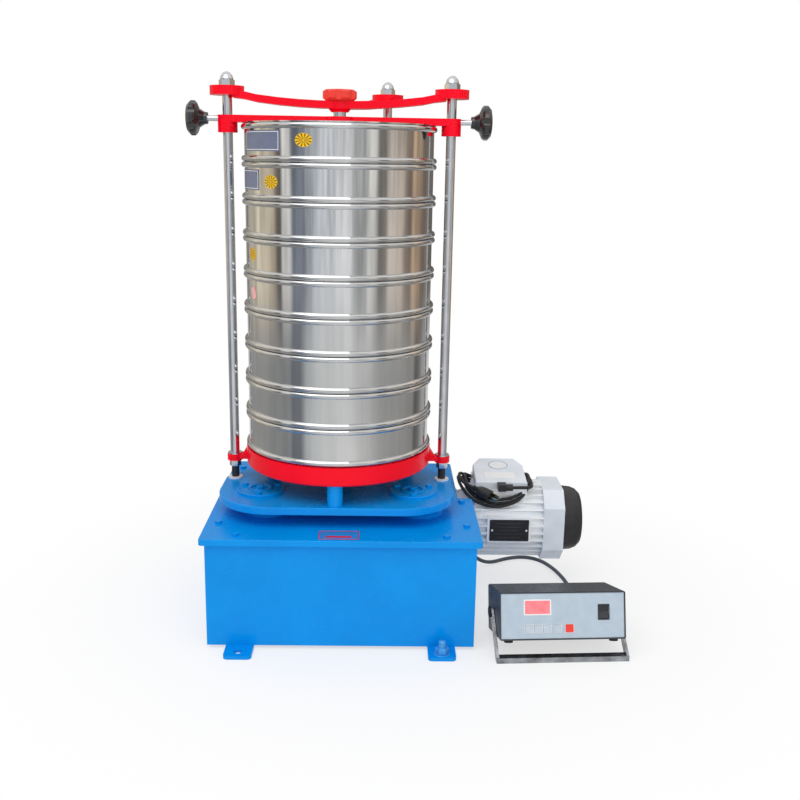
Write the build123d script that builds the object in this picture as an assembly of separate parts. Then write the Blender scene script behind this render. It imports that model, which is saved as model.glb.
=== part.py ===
from build123d import *
import os
from math import acos, asin, atan2, cos, degrees, pi, radians, sin, sqrt, tan

os.makedirs("parts", exist_ok=True)

# Frame: millimetres, +X to the right of the front, +Y to the back, +Z up.
# The origin lies on the floor, in the middle of the four foot holes.

# Fits
SHAFT_GAP = 0.05          # radial, between a shaft and the bore it turns or slides in
SEAT_GAP = 0.3            # between pieces that only lie against each other
HOLE_GAP = 0.4            # radial, between a fixing and its clearance hole

# Base box and deck
BOX_WIDTH = 424.0
BOX_DEPTH = 394.0
BOX_WALL = 6.0
BOX_HEIGHT = 170.6
DECK_OVERHANG = 8.3
DECK_THICK = 10.0
DECK_CORNER = 6.0
NOTCH_WIDTH = 25.2        # step in the right side, where the motor hangs
NOTCH_FRONT_Y = 1.0
LEDGE_WIDTH = 28.0        # angle iron inside the top of the walls
LEDGE_THICK = 6.0

# Feet
FOOT_THICK = 6.0
FOOT_WIDTH = 44.0
FOOT_INSET = 28.0         # how far a foot reaches in under the box
FOOT_SPACING_X = 320.0
FOOT_SPACING_Y = 436.0
FOOT_HOLE_RADIUS = 7.0
FOOT_EDGE = 16.0          # from the hole's centre to the foot's end
FOOT_CORNER = 7.0

# Swing drive
SWING_RADIUS = 12.5
ECCENTRIC_SPACING = 254.0
ECCENTRIC_Y = -68.0
COLUMN_RADIUS = 11.0      # eccentric shaft above and below the deck
DISC_RADIUS = 20.0        # eccentric disc inside the plate's bearing
HOUSING_FLANGE_RADIUS = 37.0
HOUSING_FLANGE_THICK = 8.0
HOUSING_TUBE_RADIUS = 26.0
HOUSING_DEPTH = 10.0      # tube below the deck's underside
PULLEY_RADIUS = 33.0
PULLEY_RIM = 1.5
PULLEY_FLANGE = 4.0
BELT_WIDTH = 14.0
BELT_THICK = 3.0
PULLEY_DROP = 4.0         # from the housing's end down to the pulley
DRIVE_SHAFT_X = 105.0
DRIVE_SHAFT_RADIUS = 10.0
DRIVE_BLOCK_RADIUS = 26.0
DRIVE_BLOCK_HEIGHT = 28.0

# Swing plate
PLATE_LIFT = 22.4         # deck top to plate underside
PLATE_THICK = 12.0
PLATE_CORNER_RADIUS = 90.0
PLATE_CORNER_X = 105.0
PLATE_CORNER_Y = -62.5
PLATE_BACK_RADIUS = 140.0
PLATE_BACK_Y = 40.0
PLATE_EAR_RADIUS = 16.0
PLATE_THIRD_EAR_RADIUS = 22.0
PLATE_LIP = 2.0
BEARING_OUTER = 26.0
BEARING_HEIGHT = 8.0
COVER_RADIUS = 38.5
COVER_THICK = 4.0
COVER_SCREW_CIRCLE = 31.5
SCREW_ACROSS = 10.0
SCREW_HEAD = 4.0
SCREW_RADIUS = 3.0

# Jolt drive
JOLT_STROKE = 8.0
JOLT_TURN = 330.0         # degrees of cam rotation for the whole stroke
JOLT_FALL_END = 345.0     # where the cam is back on its low radius
ROD_RADIUS = 10.0
ROD_GUIDE_RADIUS = 16.0
ROD_GUIDE_ABOVE = 13.0
ROD_GUIDE_FLANGE = 26.0
CAM_LOW_RADIUS = 22.0
CAM_WIDTH = 13.0
CAM_SHAFT_RADIUS = 9.0
ROLLER_RADIUS = 10.0
ROLLER_PIN_RADIUS = 4.0
FORK_CHEEK = 6.0
FORK_GAP = 0.5

# Worm drives: 38 teeth with a 3-start worm for the swing, 38 with a 2-start worm for the jolt
WHEEL_TEETH = 38
TOOTH_MODULE = 2.0
WORM_PITCH_RADIUS = 13.0
WORM_LENGTH = 44.0
WHEEL_WIDTH = 18.0
TOOTH_RISE = -0.2         # against the pitch circle, so that the tips never meet
TOOTH_DEPTH = 1.8         # below the pitch circle

# Motor
MOTOR_Y = 87.0
MOTOR_Z = 122.0
MOTOR_SHAFT_RADIUS = 9.0
MOTOR_FLANGE_RADIUS = 54.0
MOTOR_FLANGE_THICK = 10.0
MOTOR_SHIELD_RADIUS = 56.0
MOTOR_SHIELD_LENGTH = 31.0
MOTOR_CORE_RADIUS = 60.0
MOTOR_FIN_RADIUS = 70.0
MOTOR_BODY_LENGTH = 124.0
MOTOR_FIN_THICK = 3.0
MOTOR_FINS = 30
ROTOR_RADIUS = 32.0
ROTOR_LENGTH = 72.0
AIR_GAP = 0.5
PLATE_PAD_HEIGHT = 46.0   # flat pad for the rating plate
PLATE_PAD_LENGTH = 78.0
PLATE_PAD_REACH = 70.5
SHROUD_ACROSS = 132.0
SHROUD_CHAMFER = 27.0
SHROUD_LENGTH = 37.0
SHROUD_WALL = 4.0
COWL_RADIUS = 59.5
COWL_LENGTH = 36.0
COWL_WALL = 2.5
COWL_END_RADIUS = 47.0
COWL_SLOTS = 12
FAN_RADIUS = 48.0
FAN_BLADES = 6

# Terminal box on the motor
TERMINAL_WIDTH = 92.0
TERMINAL_DEPTH = 100.0
TERMINAL_OFFSET_X = -14.3   # from the middle of the motor body
TERMINAL_PAD = 70.5         # top of the body's pad above the motor axis
TERMINAL_FRONT_HEIGHT = 7.0
TERMINAL_BACK_HEIGHT = 21.0
TERMINAL_LID_THICK = 6.0
TERMINAL_WALL = 4.0
TERMINAL_CORNER = 14.0

# Tray, posts and yokes
TRAY_RADIUS = 156.0
TRAY_WALL = 5.8
TRAY_HEIGHT = 31.0
TRAY_FLOOR = 7.0
COLUMN_HEIGHT = 35.7
SUPPORT_RADIUS = 12.5
SUPPORT_CIRCLE = 137.0
POST_CIRCLE = 178.0
POST_RADIUS = 7.75
POST_THREAD_RADIUS = 6.0
THIRD_POST_ANGLE = 64.6
LUG_RADIUS = 13.0
LUG_THICK = 11.0
LUG_DROP = 3.0              # lug's underside below the tray's underside
NUT_ACROSS = 17.0
NUT_HEIGHT = 10.5
WASHER_RADIUS = 11.8
WASHER_THICK = 2.5
PIN_RADIUS = 6.5
PIN_LENGTH = 40.0
BUSH_FLANGE_RADIUS = 12.25
BUSH_FLANGE_THICK = 3.0
BUSH_BODY_RADIUS = 9.0
BOSS_RADIUS = 27.0
BOSS_THICK = 14.0
BOSS_TOP_Z = 868.0
YOKE_ARM_WIDTH = 32.0
YOKE_ARM_THICK = 12.0
YOKE_DROP = 20.0            # from the bosses' top to the hub's top
HUB_RADIUS = 18.0
HUB_TIP_RADIUS = 13.5
HUB_TIP = 5.0
ACORN_ACROSS = 22.0
ACORN_HEX_HEIGHT = 9.0
ACORN_HEIGHT = 22.0

# Sieves: 300 mm test sieves
SIEVE_BORE_RADIUS = 150.0
SIEVE_WALL = 1.0
SIEVE_COUNT = 8
SIEVE_PITCH = 57.7
BEAD_RISE = 5.0
BEAD_HEIGHT = 9.0
SKIRT_DEPTH = 12.0
SKIRT_GAP = 0.4
MESH_THICK = 1.0
PAN_HEIGHT = 85.3           # tray floor to the first joint
PAN_BEAD_RISE = 25.0        # tray floor to the underside of the pan's lower bead
LID_THICK = 1.5

# Clamp
CLAMP_THICK = 11.0
CLAMP_ARM_WIDTH = 30.0
CLAMP_PAD_RADIUS = 26.0
CLAMP_COLLAR_RADIUS = 15.5
CLAMP_COLLAR_HEIGHT = 27.0
CLAMP_LIFT = 7.5
SCREW_THREAD_RADIUS = 10.0
SCREW_PIVOT_RADIUS = 6.0
SCREW_PIVOT_DEPTH = 7.0
KNOB_RADIUS = 27.0
KNOB_HEIGHT = 17.0
KNOB_LOBES = 7
KNOB_FLUTE_RADIUS = 8.0
LOCK_STUD_RADIUS = 4.5
LOCK_STUD_FREE = 16.0       # bright length between collar and knob
LOCK_TRAVEL = 2.5
LOCK_KNOB_LENGTH = 33.0
LOCK_KNOB_HUB_RADIUS = 9.0

# Controller
CONTROLLER_X = 349.0
CONTROLLER_Y = -226.0
CONTROLLER_YAW = 3.2
CONTROLLER_TILT = 17.0
CASE_WIDTH = 200.0
CASE_DEPTH = 110.0
CASE_HEIGHT = 74.4
CASE_WALL = 2.0
CASE_ROUND = 3.0
PANEL_THICK = 2.5
PANEL_INSET = 1.0
DISPLAY_WIDTH = 39.0
DISPLAY_HEIGHT = 20.0
DISPLAY_X = -40.2
DISPLAY_Z = 13.6
KEY_SIZE = 12.0
KEY_DEPTH = 5.0
KEY_PROUD = 1.5
KEY_TRAVEL = 1.0
KEY_Z = -19.6
KEY_PLACES = (-54.0, -39.6, -25.2, -8.6)
START_KEY_X = 10.4
ROCKER_WIDTH = 15.0
ROCKER_HEIGHT = 21.0
ROCKER_X = 65.0
ROCKER_Z = 5.0
ROCKER_TILT = 8.0
ROCKER_DEPTH = 8.0
FOOT_PAD_RADIUS = 7.0
FOOT_PAD_HEIGHT = 5.0
FOOT_PAD_INSET_X = 16.0
FOOT_PAD_INSET_Y = 15.0
PIVOT_RADIUS = 4.0
PIVOT_HEAD_RADIUS = 9.0
PIVOT_HEAD_THICK = 3.0
BAIL_THICK = 4.0
BAIL_WIDTH = 13.0
BAIL_BAR_HEIGHT = 9.0
BAIL_GAP = 1.0
BAIL_REACH = 82.0

# Cords
CABLE_RADIUS = 3.5
LEAD_RADIUS = 2.8
GLAND_RADIUS = 8.0
GLAND_LENGTH = 20.0
CABLE_GLAND_Y = 138.0
CABLE_GLAND_Z = 30.0

# Heights, from the floor up
BOX_BOTTOM = FOOT_THICK
BOX_TOP = BOX_BOTTOM + BOX_HEIGHT
DECK_TOP = BOX_TOP + DECK_THICK
PLATE_BOTTOM = DECK_TOP + PLATE_LIFT
PLATE_TOP = PLATE_BOTTOM + PLATE_THICK
SUPPORT_TOP = PLATE_TOP + COLUMN_HEIGHT
TRAY_BOTTOM = SUPPORT_TOP + SEAT_GAP
TRAY_SEAT = TRAY_BOTTOM + TRAY_FLOOR
FIRST_JOINT = TRAY_SEAT + PAN_HEIGHT
STACK_TOP = FIRST_JOINT + SIEVE_COUNT * SIEVE_PITCH
LID_TOP = STACK_TOP + SEAT_GAP + LID_THICK
CLAMP_BOTTOM = LID_TOP + SEAT_GAP
CLAMP_TOP = CLAMP_BOTTOM + CLAMP_THICK
HUB_TOP = BOSS_TOP_Z - YOKE_DROP
HUB_BOTTOM = HUB_TOP - YOKE_ARM_THICK - HUB_TIP
HOUSING_BOTTOM = BOX_TOP - HOUSING_DEPTH
PULLEY_TOP = HOUSING_BOTTOM - PULLEY_DROP
PULLEY_BOTTOM = PULLEY_TOP - BELT_WIDTH - 2 * PULLEY_RIM - 2 * SEAT_GAP
FLOOR_TOP = BOX_BOTTOM + BOX_WALL

# Plan positions
STACK_X = -SWING_RADIUS
WALL_X = BOX_WIDTH / 2 - NOTCH_WIDTH
DECK_HALF_WIDTH = BOX_WIDTH / 2 + DECK_OVERHANG
DECK_HALF_DEPTH = BOX_DEPTH / 2 + DECK_OVERHANG
ECCENTRICS = [(-ECCENTRIC_SPACING / 2, ECCENTRIC_Y), (ECCENTRIC_SPACING / 2, ECCENTRIC_Y)]
WHEEL_PITCH_RADIUS = TOOTH_MODULE * WHEEL_TEETH / 2
WORM_CENTRES = WHEEL_PITCH_RADIUS + WORM_PITCH_RADIUS
DRIVE_SHAFT_Y = MOTOR_Y - WORM_CENTRES
CAM_Z = MOTOR_Z - WORM_CENTRES
POST_ANGLES = (180.0, 0.0, THIRD_POST_ANGLE)
POSTS = [(STACK_X + POST_CIRCLE * cos(radians(a)), POST_CIRCLE * sin(radians(a))) for a in POST_ANGLES]
SUPPORT_ANGLES = (270.0, 30.0, 150.0)
SUPPORTS = [(STACK_X + SUPPORT_CIRCLE * cos(radians(a)), SUPPORT_CIRCLE * sin(radians(a)))
            for a in SUPPORT_ANGLES]
MOTOR_BODY_X = WALL_X + MOTOR_FLANGE_THICK + MOTOR_SHIELD_LENGTH
SHROUD_X = MOTOR_BODY_X + MOTOR_BODY_LENGTH
COWL_X = SHROUD_X + SHROUD_LENGTH
TERMINAL_X = MOTOR_BODY_X + MOTOR_BODY_LENGTH / 2 + TERMINAL_OFFSET_X
TERMINAL_Z = MOTOR_Z + TERMINAL_PAD
CASE_RISE = ((CASE_DEPTH - FOOT_PAD_INSET_Y + FOOT_PAD_RADIUS) * sin(radians(CONTROLLER_TILT))
             + FOOT_PAD_HEIGHT * cos(radians(CONTROLLER_TILT)))


# Small makers

def rod(radius, low, high, x=0.0, y=0.0):
    """Upright cylinder between two heights."""
    return Pos(x, y, (low + high) / 2) * Cylinder(radius, high - low)


def rod_x(radius, low, high, y, z):
    """Cylinder along X between two places."""
    return Pos((low + high) / 2, y, z) * Rot(0, 90, 0) * Cylinder(radius, high - low)


def rod_y(radius, low, high, x, z):
    """Cylinder along Y between two places."""
    return Pos(x, (low + high) / 2, z) * Rot(90, 0, 0) * Cylinder(radius, high - low)


def hexagon(across, low, high, x=0.0, y=0.0):
    """Upright hexagonal prism, sized across its flats."""
    return Pos(x, y, low) * extrude(RegularPolygon(across / 2, 6, major_radius=False), high - low)


def block(x0, x1, y0, y1, z0, z1):
    """Box between two corners."""
    return Pos((x0 + x1) / 2, (y0 + y1) / 2, (z0 + z1) / 2) * Box(x1 - x0, y1 - y0, z1 - z0)


def turned(points, x=0.0, y=0.0):
    """Solid turned about an upright axis from a closed outline of (radius, height) points."""
    outline = make_face(Plane.XZ * Polyline(*points, close=True))
    return Pos(x, y, 0) * revolve(outline, Axis.Z)


def write(name, shape):
    """Writes one node, as one solid or as a group of separate solids."""
    export_step(shape, "parts/" + name + ".step")
    return shape


def group(shapes):
    """Separate solids that share one node."""
    return Compound(children=list(shapes))


def stepped_outline(inset):
    """Plan of the box or deck with the step in its right side, moved in by the inset."""
    right = DECK_HALF_WIDTH - inset
    back = DECK_HALF_DEPTH - inset
    step = NOTCH_FRONT_Y - inset
    return make_face(Polyline((-right, -back), (right, -back), (right, step), (right - NOTCH_WIDTH, step),
                              (right - NOTCH_WIDTH, back), (-right, back), close=True))


# Base box: welded walls, floor, screw ledge and four foot tabs

def make_base_box():
    outer = stepped_outline(DECK_OVERHANG)
    inner = stepped_outline(DECK_OVERHANG + BOX_WALL)
    ledge = stepped_outline(DECK_OVERHANG + LEDGE_WIDTH)
    box = Pos(0, 0, BOX_BOTTOM) * extrude(outer, BOX_HEIGHT)
    box -= Pos(0, 0, FLOOR_TOP) * extrude(inner, BOX_HEIGHT - BOX_WALL - LEDGE_THICK)
    box -= Pos(0, 0, FLOOR_TOP) * extrude(ledge, BOX_HEIGHT)
    tab_length = FOOT_SPACING_Y / 2 + FOOT_EDGE - BOX_DEPTH / 2 + FOOT_INSET
    for side in (-1, 1):
        tab_y = side * (FOOT_SPACING_Y / 2 + FOOT_EDGE - tab_length / 2)
        for x in (-FOOT_SPACING_X / 2, FOOT_SPACING_X / 2):
            tab = extrude(RectangleRounded(FOOT_WIDTH, tab_length, FOOT_CORNER), FOOT_THICK)
            box += Pos(x, tab_y, 0) * tab
    for x in (-FOOT_SPACING_X / 2, FOOT_SPACING_X / 2):
        for y in (-FOOT_SPACING_Y / 2, FOOT_SPACING_Y / 2):
            box -= rod(FOOT_HOLE_RADIUS, -1, FOOT_THICK + 1, x, y)
    for x, y in DECK_SCREWS:
        box -= rod(SCREW_RADIUS + HOLE_GAP, BOX_TOP - LEDGE_THICK - 1, BOX_TOP + 1, x, y)
    box -= rod_x(MOTOR_PILOT_RADIUS + HOLE_GAP, WALL_X - BOX_WALL - 1, WALL_X + 1, MOTOR_Y, MOTOR_Z)
    box -= rod_x(GLAND_NECK_RADIUS + HOLE_GAP, WALL_X - BOX_WALL - 1, WALL_X + 1, CABLE_GLAND_Y, CABLE_GLAND_Z)
    return box


# Deck plate with its screws and the bearing housings that hang in it

SCREW_INSET = DECK_OVERHANG + BOX_WALL + 6.0
MOTOR_PILOT_RADIUS = 30.0
GLAND_NECK_RADIUS = 6.0
screw_x = DECK_HALF_WIDTH - SCREW_INSET
screw_y = DECK_HALF_DEPTH - SCREW_INSET
DECK_SCREWS = [(-165.0, -screw_y), (165.0, -screw_y), (-screw_x, -132.0), (screw_x, -137.0), (screw_x, -20.0),
               (-screw_x, 20.0), (-screw_x, 160.0), (-60.0, screw_y), (110.0, screw_y),
               (screw_x - NOTCH_WIDTH, 150.0)]


def make_deck_plate():
    deck = Pos(0, 0, BOX_TOP) * extrude(stepped_outline(0), DECK_THICK)
    corners = deck.edges().filter_by(Axis.Z)
    deck = fillet(corners, DECK_CORNER)
    deck = fillet(deck.faces().sort_by(Axis.Z)[-1].edges(), 1.5)
    for x, y in ECCENTRICS:
        deck -= rod(HOUSING_TUBE_RADIUS + SEAT_GAP, BOX_TOP - 1, DECK_TOP + 1, x, y)
    deck -= rod(ROD_GUIDE_RADIUS + SEAT_GAP, BOX_TOP - 1, DECK_TOP + 1)
    for x, y in DECK_SCREWS:
        deck -= rod(SCREW_RADIUS + HOLE_GAP, BOX_TOP - 1, DECK_TOP + 1, x, y)
    return deck


def bolt(x, y, seat, length):
    """Hexagon bolt: head on the seat, shank below it."""
    head = hexagon(SCREW_ACROSS, seat, seat + SCREW_HEAD, x, y)
    return head + rod(SCREW_RADIUS, seat - length, seat, x, y)


def ring_places(x, y, radius, angles):
    """Points on a circle about (x, y)."""
    return [(x + radius * cos(radians(a)), y + radius * sin(radians(a))) for a in angles]


SCREW_ANGLES = (270.0, 30.0, 150.0)
FLANGE_SCREW_CIRCLE = HOUSING_TUBE_RADIUS + SCREW_ACROSS / 2 + SEAT_GAP
GUIDE_SCREW_CIRCLE = ROD_GUIDE_RADIUS + SCREW_ACROSS / 2


def make_deck_screws():
    bolts = [bolt(x, y, DECK_TOP, DECK_THICK + LEDGE_THICK) for x, y in DECK_SCREWS]
    for cx, cy in ECCENTRICS:
        for x, y in ring_places(cx, cy, FLANGE_SCREW_CIRCLE, SCREW_ANGLES):
            bolts.append(bolt(x, y, DECK_TOP + HOUSING_FLANGE_THICK, HOUSING_FLANGE_THICK))
    return group(bolts)


def make_deck_bearings():
    """Two flanged housings for the eccentric shafts and the flanged guide of the jolt rod."""
    housings = []
    for cx, cy in ECCENTRICS:
        flange_top = DECK_TOP + HOUSING_FLANGE_THICK
        housing = rod(HOUSING_FLANGE_RADIUS, DECK_TOP, flange_top, cx, cy)
        housing = chamfer(housing.edges().sort_by(Axis.Z)[-1], 1.5)
        housing += rod(HOUSING_TUBE_RADIUS, HOUSING_BOTTOM, DECK_TOP, cx, cy)
        housing -= rod(COLUMN_RADIUS + SHAFT_GAP, HOUSING_BOTTOM - 1, flange_top + 1, cx, cy)
        for x, y in ring_places(cx, cy, FLANGE_SCREW_CIRCLE, SCREW_ANGLES):
            housing -= rod(SCREW_RADIUS, DECK_TOP - 1, flange_top + 1, x, y)
        housings.append(housing)
    guide_top = DECK_TOP + ROD_GUIDE_ABOVE
    guide = rod(ROD_GUIDE_RADIUS, HOUSING_BOTTOM, guide_top)
    guide += rod(ROD_GUIDE_FLANGE, DECK_TOP, DECK_TOP + HOUSING_FLANGE_THICK / 2)
    guide -= rod(ROD_RADIUS + SHAFT_GAP, HOUSING_BOTTOM - 1, guide_top + 1)
    housings.append(guide)
    return group(housings)


# Bearing blocks on the floor of the box and under the deck

CAM_BLOCKS = (-24.0, 54.0)
BLOCK_THICK = 14.0
CAM_BLOCK_WIDTH = 40.0
SHAFT_END_X = -62.0
WORM_BLOCK_WIDTH = 38.0
DRIVE_TOP_RADIUS = 22.0


def pillow(width, low, centre, bore, thick):
    """Pillow block outline with a round head and a bore, standing on the floor, along X or Y."""
    body = Pos(0, (low + centre) / 2) * Rectangle(width, centre - low)
    body += Pos(0, centre) * Circle(width / 2)
    body -= Pos(0, centre) * Circle(bore)
    return extrude(body, thick)


def make_bearing_blocks():
    blocks = []
    for y in CAM_BLOCKS:
        shape = pillow(CAM_BLOCK_WIDTH, FLOOR_TOP, CAM_Z, CAM_SHAFT_RADIUS + SHAFT_GAP, BLOCK_THICK)
        blocks.append(Pos(0, y + BLOCK_THICK / 2, 0) * Rot(90, 0, 0) * shape)
    shape = pillow(WORM_BLOCK_WIDTH, FLOOR_TOP, MOTOR_Z, MOTOR_SHAFT_RADIUS + SHAFT_GAP, BLOCK_THICK)
    blocks.append(Pos(SHAFT_END_X + 4, MOTOR_Y, 0) * Rot(0, 90, 90) * shape)
    foot = rod(DRIVE_BLOCK_RADIUS, FLOOR_TOP, FLOOR_TOP + DRIVE_BLOCK_HEIGHT, DRIVE_SHAFT_X, DRIVE_SHAFT_Y)
    foot -= rod(DRIVE_SHAFT_RADIUS + SHAFT_GAP, FLOOR_TOP + 4, FLOOR_TOP + DRIVE_BLOCK_HEIGHT + 1,
                DRIVE_SHAFT_X, DRIVE_SHAFT_Y)
    blocks.append(foot)
    cap = rod(DRIVE_TOP_RADIUS, HOUSING_BOTTOM, BOX_TOP, DRIVE_SHAFT_X, DRIVE_SHAFT_Y)
    cap -= rod(DRIVE_SHAFT_RADIUS + SHAFT_GAP, HOUSING_BOTTOM - 1, BOX_TOP - SEAT_GAP,
               DRIVE_SHAFT_X, DRIVE_SHAFT_Y)
    blocks.append(cap)
    return group(blocks)


# Eccentric shafts, drive shaft, pulleys and belt

def pulley(x, y):
    """Flanged belt pulley."""
    low = PULLEY_BOTTOM
    wheel = rod(PULLEY_RADIUS, low, PULLEY_TOP, x, y)
    wheel += rod(PULLEY_RADIUS + PULLEY_FLANGE, low, low + PULLEY_RIM, x, y)
    wheel += rod(PULLEY_RADIUS + PULLEY_FLANGE, PULLEY_TOP - PULLEY_RIM, PULLEY_TOP, x, y)
    return wheel


def make_eccentric(x, y):
    """Stepped shaft: pulley below the deck, column through the housing, disc set off to the left."""
    shaft = rod(COLUMN_RADIUS, PULLEY_BOTTOM - SEAT_GAP, PLATE_BOTTOM - SEAT_GAP, x, y)
    shaft += rod(DISC_RADIUS, PLATE_BOTTOM - SEAT_GAP, PLATE_TOP - SEAT_GAP, x - SWING_RADIUS, y)
    return shaft + pulley(x, y)


def make_drive_shaft():
    shaft = rod(DRIVE_SHAFT_RADIUS, FLOOR_TOP + 4 + SEAT_GAP, BOX_TOP - 2 * SEAT_GAP,
                DRIVE_SHAFT_X, DRIVE_SHAFT_Y)
    return shaft + pulley(DRIVE_SHAFT_X, DRIVE_SHAFT_Y)


def belt_outline(radius):
    """Plan of a band pulled round the three pulleys at the given radius."""
    centres = ECCENTRICS + [(DRIVE_SHAFT_X, DRIVE_SHAFT_Y)]
    circles = [Pos(x, y) * Circle(radius) for x, y in centres]
    return make_hull([edge for circle in circles for edge in circle.edges()])


def make_drive_belt():
    inner = belt_outline(PULLEY_RADIUS + SEAT_GAP)
    outer = belt_outline(PULLEY_RADIUS + SEAT_GAP + BELT_THICK)
    low = PULLEY_BOTTOM + PULLEY_RIM + SEAT_GAP
    return Pos(0, 0, low) * extrude(outer - inner, BELT_WIDTH)


def toothed_wheel(bore):
    """Worm wheel on its own axis, centred on the XY plane."""
    root = WHEEL_PITCH_RADIUS - TOOTH_DEPTH
    tip = WHEEL_PITCH_RADIUS + TOOTH_RISE
    wide = pi * TOOTH_MODULE * 0.62
    narrow = pi * TOOTH_MODULE * 0.34
    tooth = make_face(Polyline((root - 1, -wide / 2), (tip, -narrow / 2), (tip, narrow / 2),
                               (root - 1, wide / 2), close=True))
    face = Circle(root)
    face += [Rot(0, 0, 360 * i / WHEEL_TEETH) * tooth for i in range(WHEEL_TEETH)]
    face -= Circle(bore)
    wheel = extrude(face, WHEEL_WIDTH / 2, both=True)
    web = WHEEL_WIDTH / 4
    recess = Circle(root - 6) - Circle(bore + 6)
    for side in (-1, 1):
        wheel -= Pos(0, 0, side * (web + WHEEL_WIDTH / 4 + 0.5)) * extrude(recess, WHEEL_WIDTH / 4, both=True)
    return wheel


def make_worm_wheel():
    return Pos(DRIVE_SHAFT_X, DRIVE_SHAFT_Y, MOTOR_Z) * toothed_wheel(DRIVE_SHAFT_RADIUS)


# Motor shaft with rotor and two worms

def worm_profile(centre):
    """Outline of a worm's crests along the shaft, as (x, radius) points from left to right."""
    root = WORM_PITCH_RADIUS - TOOTH_DEPTH
    tip = WORM_PITCH_RADIUS + TOOTH_RISE
    step = pi * TOOTH_MODULE
    turns = int(WORM_LENGTH / step)
    start = centre - turns * step / 2
    points = []
    for i in range(turns):
        x = start + i * step
        points += [(x + 0.1 * step, root), (x + 0.33 * step, tip), (x + 0.67 * step, tip),
                   (x + 0.9 * step, root)]
    return points


def make_motor_shaft():
    points = [(SHAFT_END_X, 0), (SHAFT_END_X, MOTOR_SHAFT_RADIUS)]
    for centre in (0.0, DRIVE_SHAFT_X):
        crests = worm_profile(centre)
        points += [(crests[0][0] - 4, MOTOR_SHAFT_RADIUS)] + crests + [(crests[-1][0] + 4, MOTOR_SHAFT_RADIUS)]
    rotor_low = MOTOR_BODY_X + (MOTOR_BODY_LENGTH - ROTOR_LENGTH) / 2
    points += [(rotor_low, MOTOR_SHAFT_RADIUS), (rotor_low, ROTOR_RADIUS),
               (rotor_low + ROTOR_LENGTH, ROTOR_RADIUS), (rotor_low + ROTOR_LENGTH, MOTOR_SHAFT_RADIUS),
               (COWL_X, MOTOR_SHAFT_RADIUS), (COWL_X, 0)]
    outline = make_face(Polyline(*points, close=True))
    shaft = revolve(outline, Axis.X)
    return Pos(0, MOTOR_Y, MOTOR_Z) * shaft


def make_cooling_fan():
    low = SHROUD_X + SHROUD_WALL + 4
    high = COWL_X - 2
    fan = rod_x(MOTOR_SHAFT_RADIUS + 6, low, high, 0, 0) + rod_x(FAN_RADIUS, low, low + 2, 0, 0)
    for i in range(FAN_BLADES):
        blade = block(low, high, -1, 1, MOTOR_SHAFT_RADIUS + 3, FAN_RADIUS)
        fan += Rot(360 * i / FAN_BLADES, 0, 0) * blade
    fan -= rod_x(MOTOR_SHAFT_RADIUS, low - 1, high + 1, 0, 0)
    return Pos(0, MOTOR_Y, MOTOR_Z) * fan


# Motor housings

def make_motor_flange():
    """Flange on the box wall with its pilot, and the front bearing shield behind it."""
    low = WALL_X
    mid = low + MOTOR_FLANGE_THICK
    high = mid + MOTOR_SHIELD_LENGTH
    points = [(low - BOX_WALL, MOTOR_SHAFT_RADIUS + SHAFT_GAP), (low - BOX_WALL, MOTOR_PILOT_RADIUS),
              (low, MOTOR_PILOT_RADIUS), (low, MOTOR_FLANGE_RADIUS), (mid, MOTOR_FLANGE_RADIUS),
              (mid + 5, MOTOR_SHIELD_RADIUS - 8), (high - 9, MOTOR_SHIELD_RADIUS - 2),
              (high - 5, MOTOR_SHIELD_RADIUS + 4), (high, MOTOR_SHIELD_RADIUS + 4),
              (high, MOTOR_SHAFT_RADIUS + SHAFT_GAP)]
    return Pos(0, MOTOR_Y, MOTOR_Z) * revolve(make_face(Polyline(*points, close=True)), Axis.X)


def make_motor_body():
    """Ribbed aluminium barrel with a pad on top for the terminal box and one in front for the plate."""
    section = Circle(MOTOR_CORE_RADIUS)
    rib_low = MOTOR_CORE_RADIUS - 2
    rib = Pos((rib_low + MOTOR_FIN_RADIUS) / 2, 0) * Rectangle(MOTOR_FIN_RADIUS - rib_low, MOTOR_FIN_THICK)
    for i in range(MOTOR_FINS):
        section += Rot(0, 0, (i + 0.5) * 360 / MOTOR_FINS) * rib
    section -= Circle(ROTOR_RADIUS + AIR_GAP)
    barrel = extrude(section, MOTOR_BODY_LENGTH)
    barrel = Pos(MOTOR_BODY_X, MOTOR_Y, MOTOR_Z) * Rot(0, 90, 90) * barrel
    middle = MOTOR_BODY_X + MOTOR_BODY_LENGTH / 2
    barrel += block(TERMINAL_X - TERMINAL_WIDTH / 2, TERMINAL_X + TERMINAL_WIDTH / 2,
                    MOTOR_Y - TERMINAL_DEPTH / 2, MOTOR_Y + TERMINAL_DEPTH / 2,
                    MOTOR_Z + ROTOR_RADIUS + 6, TERMINAL_Z)
    barrel += block(middle - PLATE_PAD_LENGTH / 2, middle + PLATE_PAD_LENGTH / 2,
                    MOTOR_Y - PLATE_PAD_REACH, MOTOR_Y - ROTOR_RADIUS - 8,
                    MOTOR_Z - PLATE_PAD_HEIGHT / 2, MOTOR_Z + PLATE_PAD_HEIGHT / 2)
    return barrel


def chamfered_square(across, chamfer_size):
    """Square section with cut corners."""
    half = across / 2
    cut = half - chamfer_size
    return make_face(Polyline((-half, -cut), (-cut, -half), (cut, -half), (half, -cut), (half, cut),
                              (cut, half), (-cut, half), (-half, cut), close=True))


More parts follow.
